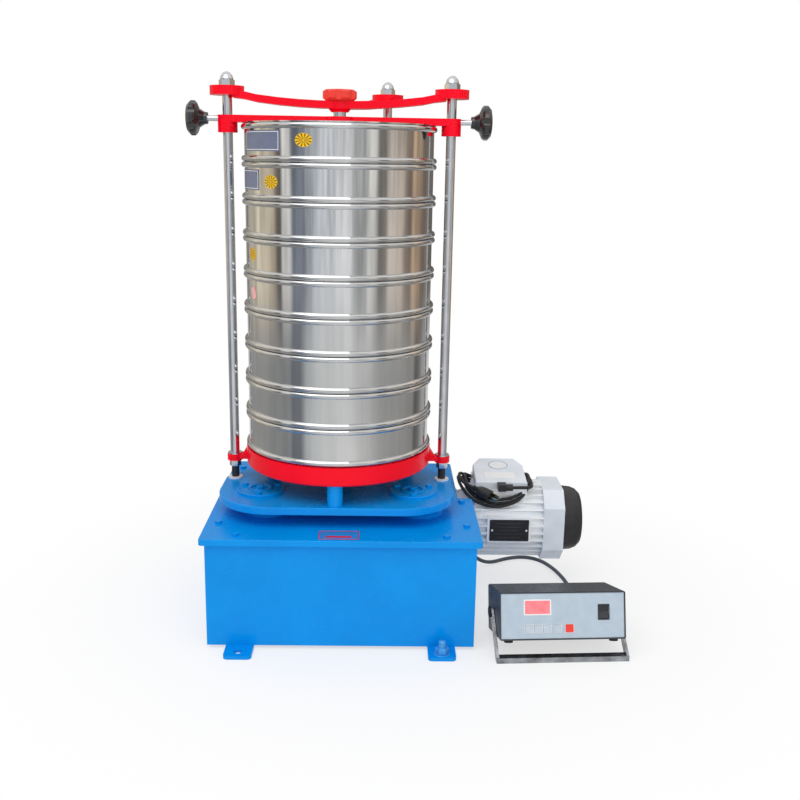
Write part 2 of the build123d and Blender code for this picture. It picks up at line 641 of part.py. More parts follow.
def make_motor_shroud():
    """Eight-sided rear shield that the cowl slips into, with the rear bearing in its wall."""
    outer = extrude(chamfered_square(SHROUD_ACROSS, SHROUD_CHAMFER), SHROUD_LENGTH)
    hollow = Pos(0, 0, SHROUD_WALL) * Cylinder(COWL_RADIUS - COWL_WALL, SHROUD_LENGTH,
                                               align=(Align.CENTER, Align.CENTER, Align.MIN))
    shroud = outer - hollow - Cylinder(MOTOR_SHAFT_RADIUS + SHAFT_GAP, 4 * SHROUD_WALL)
    return Pos(SHROUD_X, MOTOR_Y, MOTOR_Z) * Rot(0, 90, 90) * shroud


def make_motor_fan_cover():
    """Domed black cowl with radial air slots in its end."""
    end = COWL_LENGTH
    dome = end - 7
    outer = [(0, COWL_RADIUS), (dome - 9, COWL_RADIUS - 2), (dome, COWL_RADIUS - 5.5), (end, COWL_END_RADIUS)]
    inner = [(end - COWL_WALL, COWL_END_RADIUS - 1.5), (dome - 1.5, COWL_RADIUS - 8),
             (dome - 9, COWL_RADIUS - 2 - COWL_WALL), (0, COWL_RADIUS - COWL_WALL)]
    points = outer + [(end, 0), (end - COWL_WALL, 0)] + inner
    cowl = revolve(make_face(Polyline(*points, close=True)), Axis.X)
    for i in range(COWL_SLOTS):
        slot = block(end - COWL_WALL - 1, end + 1, -2.5, 2.5, 16, COWL_END_RADIUS - 8)
        cowl -= Rot(360 * i / COWL_SLOTS, 0, 0) * slot
    return Pos(COWL_X, MOTOR_Y, MOTOR_Z) * cowl


# Terminal box with a lid that slopes down to the front

def terminal_outline(inset):
    """Plan of the terminal box, with cut corners at the back."""
    w = TERMINAL_WIDTH / 2 - inset
    d = TERMINAL_DEPTH / 2 - inset
    c = TERMINAL_CORNER
    return make_face(Polyline((-w, -d), (w, -d), (w, d - 2 * c), (w - c, d), (-w + c, d), (-w, d - 2 * c),
                              close=True))


def terminal_slab(inset, low_front, low_back, high_front, high_back):
    """Piece of the terminal box between two sloping planes, heights taken at its front and back."""
    d = TERMINAL_DEPTH / 2
    side = make_face(Polyline((-d, low_front), (d, low_back), (d, high_back), (-d, high_front), close=True))
    slab = Rot(0, 90, 90) * extrude(side, TERMINAL_WIDTH / 2, both=True)
    column = Pos(0, 0, -5) * extrude(terminal_outline(inset), TERMINAL_BACK_HEIGHT + 30)
    return slab & column


def make_terminal_box():
    front = TERMINAL_FRONT_HEIGHT
    back = TERMINAL_BACK_HEIGHT
    box = terminal_slab(0, 0, 0, front, back)
    box -= terminal_slab(TERMINAL_WALL, TERMINAL_WALL, TERMINAL_WALL, front + 1, back + 1)
    return Pos(TERMINAL_X, MOTOR_Y, TERMINAL_Z) * box


def make_terminal_box_lid():
    front = TERMINAL_FRONT_HEIGHT
    back = TERMINAL_BACK_HEIGHT
    lid = terminal_slab(0, front, back, front + TERMINAL_LID_THICK, back + TERMINAL_LID_THICK)
    upper = lid.faces().filter_by(lambda f: f.normal_at().Z > 0.5).sort_by(Axis.Z)[-1]
    lid = fillet(upper.edges(), 2.5)
    return Pos(TERMINAL_X, MOTOR_Y, TERMINAL_Z) * lid


# Jolt mechanism: cam shaft with its worm wheel, snail cam, roller and rod

CAM_SHAFT_ENDS = (-34.0, MOTOR_Y + WHEEL_WIDTH / 2 + 6.0)
ROLLER_Z = CAM_Z + CAM_LOW_RADIUS + SEAT_GAP + ROLLER_RADIUS
FORK_TOP = ROLLER_Z + ROLLER_RADIUS + 8.0


def make_cam_shaft():
    shaft = rod_y(CAM_SHAFT_RADIUS, CAM_SHAFT_ENDS[0], CAM_SHAFT_ENDS[1], 0, CAM_Z)
    wheel = Pos(0, MOTOR_Y, CAM_Z) * Rot(90, 0, 0) * toothed_wheel(CAM_SHAFT_RADIUS - 1)
    return shaft + wheel


def make_jolt_cam():
    """Snail cam whose radius grows evenly with its turn and drops back past the top."""
    def point(turn):
        radius = CAM_LOW_RADIUS + (JOLT_STROKE * turn / JOLT_TURN if turn <= JOLT_TURN else 0)
        angle = radians(90 - turn)
        return (radius * cos(angle), radius * sin(angle))

    rise = Spline(*[point(JOLT_TURN * i / 12) for i in range(13)])
    fall = Line(point(JOLT_TURN), point(JOLT_FALL_END))
    rest = RadiusArc(point(JOLT_FALL_END), point(360), -CAM_LOW_RADIUS)
    face = make_face([rise, fall, rest]) - Circle(CAM_SHAFT_RADIUS)
    return Pos(0, 0, CAM_Z) * Rot(90, 0, 0) * extrude(face, CAM_WIDTH / 2, both=True)


def make_jolt_rod():
    """Round rod with a fork at its lower end and the roller on its pin, as three solids."""
    inner = CAM_WIDTH / 2 + FORK_GAP
    outer = inner + FORK_CHEEK
    low = ROLLER_Z - ROLLER_PIN_RADIUS - 3
    rod_piece = rod(ROD_RADIUS, ROLLER_Z + ROLLER_RADIUS + 2, TRAY_BOTTOM - SEAT_GAP)
    rod_piece += block(-ROD_RADIUS, ROD_RADIUS, -outer, outer, low, FORK_TOP)
    rod_piece -= block(-ROD_RADIUS - 1, ROD_RADIUS + 1, -inner, inner, low - 1, ROLLER_Z + ROLLER_RADIUS + 1)
    rod_piece -= rod_y(ROLLER_PIN_RADIUS, -outer - 1, outer + 1, 0, ROLLER_Z)
    pin = rod_y(ROLLER_PIN_RADIUS, -outer, outer, 0, ROLLER_Z)
    roller = rod_y(ROLLER_RADIUS, -CAM_WIDTH / 2, CAM_WIDTH / 2, 0, ROLLER_Z)
    roller -= rod_y(ROLLER_PIN_RADIUS, -CAM_WIDTH, CAM_WIDTH, 0, ROLLER_Z)
    return group([rod_piece, pin, roller])


# Swing plate and what is fixed to it

PLATE_BORES = [(x - SWING_RADIUS, y) for x, y in ECCENTRICS]
PLATE_CENTRE_HOLE = SWING_RADIUS + ROD_RADIUS + 3.0


def make_swing_plate():
    circles = [Pos(STACK_X + side * PLATE_CORNER_X, PLATE_CORNER_Y) * Circle(PLATE_CORNER_RADIUS)
               for side in (-1, 1)]
    circles.append(Pos(STACK_X, PLATE_BACK_Y) * Circle(PLATE_BACK_RADIUS))
    ears = (PLATE_EAR_RADIUS, PLATE_EAR_RADIUS, PLATE_THIRD_EAR_RADIUS)
    circles += [Pos(x, y) * Circle(r) for (x, y), r in zip(POSTS, ears)]
    outline = make_hull([edge for circle in circles for edge in circle.edges()])
    plate = extrude(outline, PLATE_THICK)
    plate = fillet(plate.faces().sort_by(Axis.Z)[-1].edges(), 1.5)
    plate = Pos(0, 0, PLATE_BOTTOM) * plate
    for x, y in PLATE_BORES:
        plate -= rod(BEARING_OUTER, PLATE_BOTTOM + PLATE_LIP, PLATE_TOP + 1, x, y)
        plate -= rod(BEARING_OUTER - 3, PLATE_BOTTOM - 1, PLATE_TOP, x, y)
        for sx, sy in ring_places(x, y, COVER_SCREW_CIRCLE, SCREW_ANGLES):
            plate -= rod(SCREW_RADIUS, PLATE_TOP - 8, PLATE_TOP + 1, sx, sy)
    plate -= rod(PLATE_CENTRE_HOLE, PLATE_BOTTOM - 1, PLATE_TOP + 1, STACK_X, 0)
    for x, y in POSTS:
        plate -= rod(BUSH_BODY_RADIUS, PLATE_BOTTOM - 1, PLATE_TOP + 1, x, y)
    return plate


def make_plate_bearings():
    """Sealed ball bearings, one ring solid each, with the two races marked by grooves."""
    rings = []
    low = PLATE_BOTTOM + PLATE_LIP
    high = low + BEARING_HEIGHT
    inner = DISC_RADIUS + SHAFT_GAP
    points = [(inner, low), (inner + 2, low), (inner + 2, low + 0.6), (BEARING_OUTER - 2, low + 0.6),
              (BEARING_OUTER - 2, low), (BEARING_OUTER, low), (BEARING_OUTER, high),
              (BEARING_OUTER - 2, high), (BEARING_OUTER - 2, high - 0.6), (inner + 2, high - 0.6),
              (inner + 2, high), (inner, high)]
    for x, y in PLATE_BORES:
        rings.append(turned(points, x, y))
    return group(rings)


def make_bearing_covers():
    covers = []
    for x, y in PLATE_BORES:
        cover = rod(COVER_RADIUS, PLATE_TOP, PLATE_TOP + COVER_THICK, x, y)
        cover = fillet(cover.edges().sort_by(Axis.Z)[-1], 1.2)
        cover -= rod(DISC_RADIUS + 0.5, PLATE_TOP - 1, PLATE_TOP + COVER_THICK + 1, x, y)
        for sx, sy in ring_places(x, y, COVER_SCREW_CIRCLE, SCREW_ANGLES):
            cover -= rod(SCREW_RADIUS, PLATE_TOP - 1, PLATE_TOP + COVER_THICK + 1, sx, sy)
        covers.append(cover)
    return group(covers)


def make_cover_screws():
    screws = []
    for x, y in PLATE_BORES:
        for sx, sy in ring_places(x, y, COVER_SCREW_CIRCLE, SCREW_ANGLES):
            screws.append(bolt(sx, sy, PLATE_TOP + COVER_THICK, COVER_THICK + 8))
    return group(screws)


def make_guide_bushes():
    bushes = []
    for x, y in POSTS:
        bush = rod(BUSH_FLANGE_RADIUS, PLATE_TOP, PLATE_TOP + BUSH_FLANGE_THICK, x, y)
        bush += rod(BUSH_BODY_RADIUS, PLATE_BOTTOM, PLATE_TOP, x, y)
        bush -= rod(PIN_RADIUS + SHAFT_GAP, PLATE_BOTTOM - 1, PLATE_TOP + BUSH_FLANGE_THICK + 1, x, y)
        bushes.append(bush)
    return group(bushes)


def make_support_columns():
    return group([rod(SUPPORT_RADIUS, PLATE_TOP, SUPPORT_TOP, x, y) for x, y in SUPPORTS])


# Sieve carrier: tray, posts, nuts and upper yoke

LUG_BOTTOM = TRAY_BOTTOM - LUG_DROP
LUG_TOP = LUG_BOTTOM + LUG_THICK
NUT_BOTTOM = LUG_BOTTOM - NUT_HEIGHT
POST_LOW = LUG_TOP + WASHER_THICK
BOSS_BOTTOM = BOSS_TOP_Z - BOSS_THICK


def make_sieve_tray():
    """Shallow round dish with three lugs for the posts, each on a gusseted neck."""
    top = TRAY_BOTTOM + TRAY_HEIGHT
    points = [(0, TRAY_BOTTOM), (TRAY_RADIUS - 3, TRAY_BOTTOM), (TRAY_RADIUS, TRAY_BOTTOM + 3),
              (TRAY_RADIUS, top), (TRAY_RADIUS - TRAY_WALL, top), (TRAY_RADIUS - TRAY_WALL, TRAY_SEAT),
              (0, TRAY_SEAT)]
    tray = turned(points, STACK_X, 0)
    for angle in POST_ANGLES:
        lug = Pos(POST_CIRCLE, 0, LUG_BOTTOM) * extrude(Circle(LUG_RADIUS), LUG_THICK)
        neck_low = TRAY_RADIUS - TRAY_WALL / 2
        neck_width = LUG_RADIUS * 1.5
        neck = block(neck_low, POST_CIRCLE, -neck_width / 2, neck_width / 2, TRAY_BOTTOM, LUG_TOP)
        gusset = make_face(Polyline((neck_low, LUG_TOP - 1), (POST_CIRCLE - WASHER_RADIUS - 1, LUG_TOP - 1),
                                    (neck_low, top - 4), close=True))
        gusset = Rot(90, 0, 0) * extrude(gusset, neck_width / 3, both=True)
        arm = lug + neck + gusset
        arm -= Pos(POST_CIRCLE, 0, LUG_BOTTOM - 1) * extrude(Circle(POST_THREAD_RADIUS + SEAT_GAP),
                                                             LUG_THICK + 2)
        tray += Pos(STACK_X, 0, 0) * Rot(0, 0, angle) * arm
    return tray


def make_posts():
    posts = []
    for x, y in POSTS:
        post = rod(POST_RADIUS, POST_LOW, BOSS_BOTTOM, x, y)
        post += rod(POST_THREAD_RADIUS, NUT_BOTTOM, POST_LOW, x, y)
        post += rod(POST_THREAD_RADIUS, BOSS_BOTTOM, BOSS_TOP_Z + ACORN_HEX_HEIGHT, x, y)
        posts.append(post)
    return group(posts)


def make_guide_pins():
    pins = []
    for x, y in POSTS:
        pin = rod(PIN_RADIUS, NUT_BOTTOM - PIN_LENGTH, NUT_BOTTOM, x, y)
        pins.append(chamfer(pin.edges().sort_by(Axis.Z)[0], 1))
    return group(pins)


def make_post_nuts():
    """Lower nuts, washers on the lugs and acorn nuts on the yoke."""
    pieces = []
    for x, y in POSTS:
        nut = hexagon(NUT_ACROSS, NUT_BOTTOM, LUG_BOTTOM, x, y)
        pieces.append(nut - rod(POST_THREAD_RADIUS, NUT_BOTTOM - 1, LUG_BOTTOM + 1, x, y))
        washer = rod(WASHER_RADIUS, LUG_TOP, POST_LOW, x, y)
        pieces.append(washer - rod(POST_THREAD_RADIUS, LUG_TOP - 1, POST_LOW + 1, x, y))
        hex_top = BOSS_TOP_Z + ACORN_HEX_HEIGHT
        top = BOSS_TOP_Z + ACORN_HEIGHT
        half = ACORN_ACROSS / 2
        dome = turned([(0, hex_top - 1), (half - 0.5, hex_top - 1), (half - 0.5, hex_top + 2),
                       (half * 0.8, hex_top + 7), (half * 0.45, top - 1.5), (0, top)], x, y)
        acorn = hexagon(ACORN_ACROSS, BOSS_TOP_Z, hex_top, x, y) + dome
        pieces.append(acorn - rod(POST_THREAD_RADIUS, BOSS_TOP_Z - 1, hex_top, x, y))
    return group(pieces)


def make_upper_yoke():
    """Casting with three bosses and arched arms that drop to the hub of the pressure screw."""
    hub_bottom = HUB_TOP - YOKE_ARM_THICK
    yoke = rod(HUB_RADIUS, hub_bottom, HUB_TOP)
    yoke += turned([(0, HUB_BOTTOM), (HUB_TIP_RADIUS, HUB_BOTTOM), (HUB_RADIUS, hub_bottom), (0, hub_bottom)])
    reach = POST_CIRCLE - BOSS_RADIUS / 2
    flat = KNOB_RADIUS + 3
    run = (reach - flat) / 4
    drop = BOSS_TOP_Z - 1 - HUB_TOP
    lift = [(0, 0), (flat, 0), (flat + run, drop * 0.07), (flat + 2 * run, drop * 0.2),
            (flat + 3 * run, drop * 0.4), (reach - 14, drop * 0.62), (reach + 4, drop * 0.72)]
    upper = [(x, HUB_TOP + z) for x, z in lift]
    lower = [(x, hub_bottom + z + 0.6) for x, z in lift]
    side = make_face(Polyline(*upper, *reversed(lower), close=True))
    arm = Rot(90, 0, 0) * extrude(side, YOKE_ARM_WIDTH / 2, both=True)
    for angle in POST_ANGLES:
        boss = Pos(POST_CIRCLE, 0, BOSS_BOTTOM) * extrude(Circle(BOSS_RADIUS), BOSS_THICK)
        yoke += Rot(0, 0, angle) * (boss + arm)
    for angle in POST_ANGLES:
        yoke -= Rot(0, 0, angle) * Pos(POST_CIRCLE, 0, BOSS_BOTTOM - 1) * extrude(
            Circle(POST_THREAD_RADIUS + SEAT_GAP), BOSS_THICK + 2)
    yoke -= rod(SCREW_THREAD_RADIUS + SHAFT_GAP, HUB_BOTTOM - 1, HUB_TOP + 1)
    return Pos(STACK_X, 0, 0) * yoke


# Sieve stack

def bead(radius, low):
    """Edges of a rolled bead: a bulge outwards from the wall between low and low + BEAD_HEIGHT."""
    middle = (radius + BEAD_RISE, low + BEAD_HEIGHT / 2)
    return ThreePointArc((radius, low), middle, (radius, low + BEAD_HEIGHT))


def sieve_wall(low, high, beads, skirt_low):
    """Turned sheet wall with beads, stepping in to a skirt that nests in the piece below."""
    bore = SIEVE_BORE_RADIUS
    outer = bore + SIEVE_WALL
    skirt = bore - SKIRT_GAP
    edges = []
    here = (outer, low)
    for start in beads:
        if start > here[1] + 0.001:
            edges.append(Line(here, (outer, start)))
        edges.append(bead(outer, start))
        here = (outer, start + BEAD_HEIGHT)
    if high > here[1] + 0.001:
        edges.append(Line(here, (outer, high)))
    path = [(outer, high), (bore, high), (bore, low + SIEVE_WALL), (skirt - SIEVE_WALL, low + SIEVE_WALL),
            (skirt - SIEVE_WALL, skirt_low), (skirt, skirt_low), (skirt, low), (outer, low)]
    edges.append(Polyline(*path))
    face = Plane.XZ * make_face(edges)
    return Pos(STACK_X, 0, 0) * revolve(face, Axis.Z)


def joint_height(index):
    """Height of the joint under sieve number index, counted from 0."""
    return FIRST_JOINT + index * SIEVE_PITCH


JOINT_HALF = SEAT_GAP / 2


def make_sieve_frames():
    frames = []
    for i in range(SIEVE_COUNT):
        low = joint_height(i) + JOINT_HALF
        high = joint_height(i + 1) - JOINT_HALF
        frames.append(sieve_wall(low, high, (low, high - BEAD_HEIGHT), low - SKIRT_DEPTH))
    return group(frames)


def make_sieve_meshes():
    meshes = []
    for i in range(SIEVE_COUNT):
        low = joint_height(i) + JOINT_HALF + SIEVE_WALL
        meshes.append(rod(SIEVE_BORE_RADIUS - SKIRT_GAP / 2, low, low + MESH_THICK, STACK_X, 0))
    return group(meshes)


PAN_BEAD_LOW = TRAY_SEAT + PAN_BEAD_RISE


def make_bottom_pan():
    high = FIRST_JOINT - JOINT_HALF
    wall = sieve_wall(PAN_BEAD_LOW, high, (PAN_BEAD_LOW, high - BEAD_HEIGHT), TRAY_SEAT)
    return wall + rod(SIEVE_BORE_RADIUS, PAN_BEAD_LOW, PAN_BEAD_LOW + SIEVE_WALL, STACK_X, 0)


def make_sieve_lid():
    low = STACK_TOP + SEAT_GAP
    skirt = SIEVE_BORE_RADIUS - SKIRT_GAP
    rim = SIEVE_BORE_RADIUS + SIEVE_WALL + BEAD_RISE / 2
    points = [(0, low), (skirt - SIEVE_WALL, low), (skirt - SIEVE_WALL, low - SKIRT_DEPTH),
              (skirt, low - SKIRT_DEPTH), (skirt, low), (rim, low), (rim, LID_TOP), (0, LID_TOP)]
    return turned(points, STACK_X, 0)


# Clamp yoke, pressure screw and lock screws

COLLAR_LOW = CLAMP_TOP - CLAMP_COLLAR_HEIGHT
LOCK_Z = (CLAMP_BOTTOM + CLAMP_TOP) / 2


def make_clamp_yoke():
    yoke = rod(CLAMP_PAD_RADIUS, CLAMP_BOTTOM, CLAMP_TOP)
    for angle in POST_ANGLES:
        arm = block(0, POST_CIRCLE, -CLAMP_ARM_WIDTH / 2, CLAMP_ARM_WIDTH / 2, CLAMP_BOTTOM, CLAMP_TOP)
        collar = Pos(POST_CIRCLE, 0, 0) * rod(CLAMP_COLLAR_RADIUS, COLLAR_LOW, CLAMP_TOP)
        yoke += Rot(0, 0, angle) * (arm + collar)
    for angle in POST_ANGLES:
        bore = Pos(POST_CIRCLE, 0, 0) * rod(POST_RADIUS + SHAFT_GAP, COLLAR_LOW - 1, CLAMP_TOP + 1)
        yoke -= Rot(0, 0, angle) * bore
    for angle in POST_ANGLES[:2]:
        hole = rod_x(LOCK_STUD_RADIUS + SHAFT_GAP, POST_CIRCLE, POST_CIRCLE + CLAMP_COLLAR_RADIUS + 1, 0, LOCK_Z)
        yoke -= Rot(0, 0, angle) * hole
    yoke -= rod(SCREW_PIVOT_RADIUS + SHAFT_GAP, CLAMP_TOP - SCREW_PIVOT_DEPTH - SEAT_GAP, CLAMP_TOP + 1)
    return Pos(STACK_X, 0, 0) * yoke


def make_pressure_screw():
    screw = rod(SCREW_THREAD_RADIUS, CLAMP_TOP + SEAT_GAP, HUB_TOP + SEAT_GAP, STACK_X, 0)
    screw += rod(SCREW_PIVOT_RADIUS, CLAMP_TOP - SCREW_PIVOT_DEPTH, CLAMP_TOP + SEAT_GAP, STACK_X, 0)
    return screw


def lobed(piece, low, high):
    """Cuts even flutes into a knob that stands on the Z axis."""
    for i in range(KNOB_LOBES):
        flute = Pos(KNOB_RADIUS + KNOB_FLUTE_RADIUS * 0.62, 0, 0) * rod(KNOB_FLUTE_RADIUS, low, high)
        piece -= Rot(0, 0, 360 * i / KNOB_LOBES + 12) * flute
    return piece


def make_screw_knob():
    r = KNOB_RADIUS
    points = [(0, 0), (r - 5, 0), (r, 4), (r, KNOB_HEIGHT - 3), (r - 4, KNOB_HEIGHT), (0, KNOB_HEIGHT)]
    knob = lobed(turned(points), -1, KNOB_HEIGHT + 1)
    return Pos(STACK_X, 0, HUB_TOP + SEAT_GAP) * knob


STUD_INNER = POST_RADIUS + SEAT_GAP
STUD_OUTER = CLAMP_COLLAR_RADIUS + LOCK_STUD_FREE


def place_lock(piece, angle):
    """Sets a piece that stands on Z onto the collar at the given angle, pointing outwards."""
    return Pos(STACK_X, 0, LOCK_Z) * Rot(0, 0, angle) * Pos(POST_CIRCLE, 0, 0) * Rot(0, 90, 0) * piece


def make_lock_stud(angle):
    return place_lock(rod(LOCK_STUD_RADIUS, STUD_INNER, STUD_OUTER + LOCK_KNOB_LENGTH - 8), angle)


def make_lock_knob(angle):
    """Star knob: slim hub towards the collar, flaring to a domed lobed head."""
    h = LOCK_KNOB_LENGTH
    r = KNOB_RADIUS
    points = [(0, 0), (LOCK_KNOB_HUB_RADIUS, 0), (LOCK_KNOB_HUB_RADIUS + 1, 5), (LOCK_KNOB_HUB_RADIUS + 6, 13),
              (r - 3, 17), (r, 20), (r, h - 7), (r - 6, h - 1.5), (r - 14, h), (0, h)]
    knob = lobed(turned(points), 13, h + 1)
    knob -= rod(LOCK_STUD_RADIUS + SHAFT_GAP, -1, h - 8 + SEAT_GAP)
    return place_lock(Pos(0, 0, STUD_OUTER) * knob, angle)


# Controller: tilted case on its bail

CONTROLLER = Pos(CONTROLLER_X, CONTROLLER_Y, 0) * Rot(0, 0, CONTROLLER_YAW)
CASE = CONTROLLER * Pos(0, 0, CASE_RISE) * Rot(-CONTROLLER_TILT, 0, 0)
PANEL_BACK = PANEL_INSET + PANEL_THICK
PANEL_CENTRE = CASE * Pos(0, 0, CASE_HEIGHT / 2)
KEYS = [(x, KEY_Z) for x in KEY_PLACES] + [(START_KEY_X, KEY_Z)]
PIVOT_Y = CASE_DEPTH / 2
PIVOT_Z = CASE_HEIGHT / 2
REAR_GLAND_X = 46.0
REAR_GLAND_Z = 26.0


def make_controller_case():
    shell = block(-CASE_WIDTH / 2, CASE_WIDTH / 2, 0, CASE_DEPTH, 0, CASE_HEIGHT)
    shell = fillet(shell.edges().filter_by(Axis.Y), CASE_ROUND)
    shell -= block(-CASE_WIDTH / 2 + CASE_WALL, CASE_WIDTH / 2 - CASE_WALL, -1, CASE_DEPTH - CASE_WALL,
                   CASE_WALL, CASE_HEIGHT - CASE_WALL)
    for side in (-1, 1):
        shell -= rod_x(PIVOT_RADIUS, side * CASE_WIDTH / 2 - 5, side * CASE_WIDTH / 2 + 5, PIVOT_Y, PIVOT_Z)
    shell -= rod_y(GLAND_NECK_RADIUS, CASE_DEPTH - 5, CASE_DEPTH + 1, REAR_GLAND_X, REAR_GLAND_Z)
    return CASE * shell


def make_controller_panel():
    half_w = CASE_WIDTH / 2 - CASE_WALL - SEAT_GAP
    half_h = CASE_HEIGHT / 2 - CASE_WALL - SEAT_GAP
    panel = block(-half_w, half_w, PANEL_INSET, PANEL_BACK, -half_h, half_h)
    panel -= block(DISPLAY_X - DISPLAY_WIDTH / 2 - SEAT_GAP, DISPLAY_X + DISPLAY_WIDTH / 2 + SEAT_GAP, 0,
                   PANEL_BACK + 1, DISPLAY_Z - DISPLAY_HEIGHT / 2 - SEAT_GAP,
                   DISPLAY_Z + DISPLAY_HEIGHT / 2 + SEAT_GAP)
    panel -= block(ROCKER_X - ROCKER_WIDTH / 2 - SEAT_GAP, ROCKER_X + ROCKER_WIDTH / 2 + SEAT_GAP, 0,
                   PANEL_BACK + 1, ROCKER_Z - ROCKER_HEIGHT / 2 - 1, ROCKER_Z + ROCKER_HEIGHT / 2 + 1)
    half = KEY_SIZE / 2 + SEAT_GAP
    for x, z in KEYS:
        panel -= block(x - half, x + half, 0, PANEL_BACK + 1, z - half, z + half)
    return PANEL_CENTRE * panel


def make_display_window():
    window = block(DISPLAY_X - DISPLAY_WIDTH / 2, DISPLAY_X + DISPLAY_WIDTH / 2, PANEL_INSET - 0.5, PANEL_BACK,
                   DISPLAY_Z - DISPLAY_HEIGHT / 2, DISPLAY_Z + DISPLAY_HEIGHT / 2)
    return PANEL_CENTRE * window


def make_key(place):
    x, z = place
    key = block(x - KEY_SIZE / 2, x + KEY_SIZE / 2, PANEL_INSET - KEY_PROUD, PANEL_INSET - KEY_PROUD + KEY_DEPTH,
                z - KEY_SIZE / 2, z + KEY_SIZE / 2)
    key = fillet(key.edges().filter_by(Axis.Y), 1.0)
    return PANEL_CENTRE * key


def make_rocker_switch():
    """Rocker with two sloping faces, tipped about an axis behind the panel."""
    half = ROCKER_HEIGHT / 2
    proud = 2.5
    side = make_face(Polyline((-proud, -half), (-proud + 2, 0), (-proud, half), (ROCKER_DEPTH - 3, half - 3.5),
                              (ROCKER_DEPTH, 0), (ROCKER_DEPTH - 3, -half + 3.5), close=True))
    body = Rot(0, 90, 90) * extrude(side, ROCKER_WIDTH / 2, both=True)
    return PANEL_CENTRE * Pos(ROCKER_X, PANEL_BACK, ROCKER_Z) * Rot(-ROCKER_TILT, 0, 0) * body


def make_controller_fittings():
    """Four rubber feet and the two pivot screws of the bail."""
    pieces = []
    for x in (-CASE_WIDTH / 2 + FOOT_PAD_INSET_X, CASE_WIDTH / 2 - FOOT_PAD_INSET_X):
        for y in (FOOT_PAD_INSET_Y, CASE_DEPTH - FOOT_PAD_INSET_Y):
            pieces.append(CASE * rod(FOOT_PAD_RADIUS, -FOOT_PAD_HEIGHT, 0, x, y))
    for side in (-1, 1):
        edge = side * CASE_WIDTH / 2
        head = edge + side * (BAIL_GAP + BAIL_THICK + SEAT_GAP)
        shank_ends = sorted((edge - side * 8, head + side * PIVOT_HEAD_THICK))
        head_ends = sorted((head, head + side * PIVOT_HEAD_THICK))
        screw = rod_x(PIVOT_RADIUS, shank_ends[0], shank_ends[1], PIVOT_Y, PIVOT_Z)
        screw += rod_x(PIVOT_HEAD_RADIUS, head_ends[0], head_ends[1], PIVOT_Y, PIVOT_Z)
        pieces.append(CASE * screw)
    return group(pieces)


tilt = radians(CONTROLLER_TILT)
BAIL_PIVOT_Y = PIVOT_Y * cos(tilt) + PIVOT_Z * sin(tilt)
BAIL_PIVOT_Z = CASE_RISE - PIVOT_Y * sin(tilt) + PIVOT_Z * cos(tilt)


def make_bail_handle():
    """Flat U-shaped bail: two arms on the case's sides and a bar that lies on the floor in front."""
    bar_z = BAIL_BAR_HEIGHT / 2
    run = sqrt(BAIL_REACH ** 2 - (BAIL_PIVOT_Z - bar_z) ** 2)
    bar_y = BAIL_PIVOT_Y - run
    lean = degrees(atan2(BAIL_PIVOT_Z - bar_z, run))
    inner = CASE_WIDTH / 2 + BAIL_GAP
    arm = Pos(BAIL_REACH / 2, 0) * SlotOverall(BAIL_REACH + BAIL_WIDTH, BAIL_WIDTH)
    arm = Rot(0, 0, lean) * arm
    arm = Pos(-run, bar_z - BAIL_PIVOT_Z) * arm
    plate = Rot(0, 90, 90) * extrude(arm, BAIL_THICK)
    bail = Pos(inner, BAIL_PIVOT_Y, BAIL_PIVOT_Z) * plate
    bail += Pos(-inner - BAIL_THICK, BAIL_PIVOT_Y, BAIL_PIVOT_Z) * plate
    floor_cut = block(-CASE_WIDTH, CASE_WIDTH, bar_y - 40, bar_y + 40, -40, 0)
    bail -= floor_cut
    half = inner + BAIL_THICK
    bail += block(-half, half, bar_y - BAIL_WIDTH / 2, bar_y + BAIL_WIDTH / 2, 0, BAIL_BAR_HEIGHT)
    bail -= rod_x(PIVOT_RADIUS + SHAFT_GAP, -half - 1, half + 1, BAIL_PIVOT_Y, BAIL_PIVOT_Z)
    return CONTROLLER * bail


# Glands and cords

COIL_LOW_X = 199.0
COIL_HIGH_X = 335.0
COIL_LOW_Y = 19.0
COIL_HIGH_Y = 153.0
COIL_CORNER = 52.0
COIL_THICK = 13.0
COIL_INNER_LOW_X = 221.0
COIL_BOTTOM_Z = 158.0
PLUG_LENGTH = 26.0
PLUG_WIDTH = 22.0
PLUG_THICK = 17.0
PLUG_PLACE = (243.0, 18.5, 191.5)
PLUG_YAW = -30.0
PLUG_DIP = 15.0
PLUG_PIN_LENGTH = 16.0
PLUG_RELIEF = 10.0
LEAD_GLAND_X = 282.0
LEAD_GLAND_Y = 24.0
LEAD_GLAND_Z = 199.5
coil_inner_radius = MOTOR_FIN_RADIUS + 0.6
coil_outer_radius = coil_inner_radius + COIL_THICK


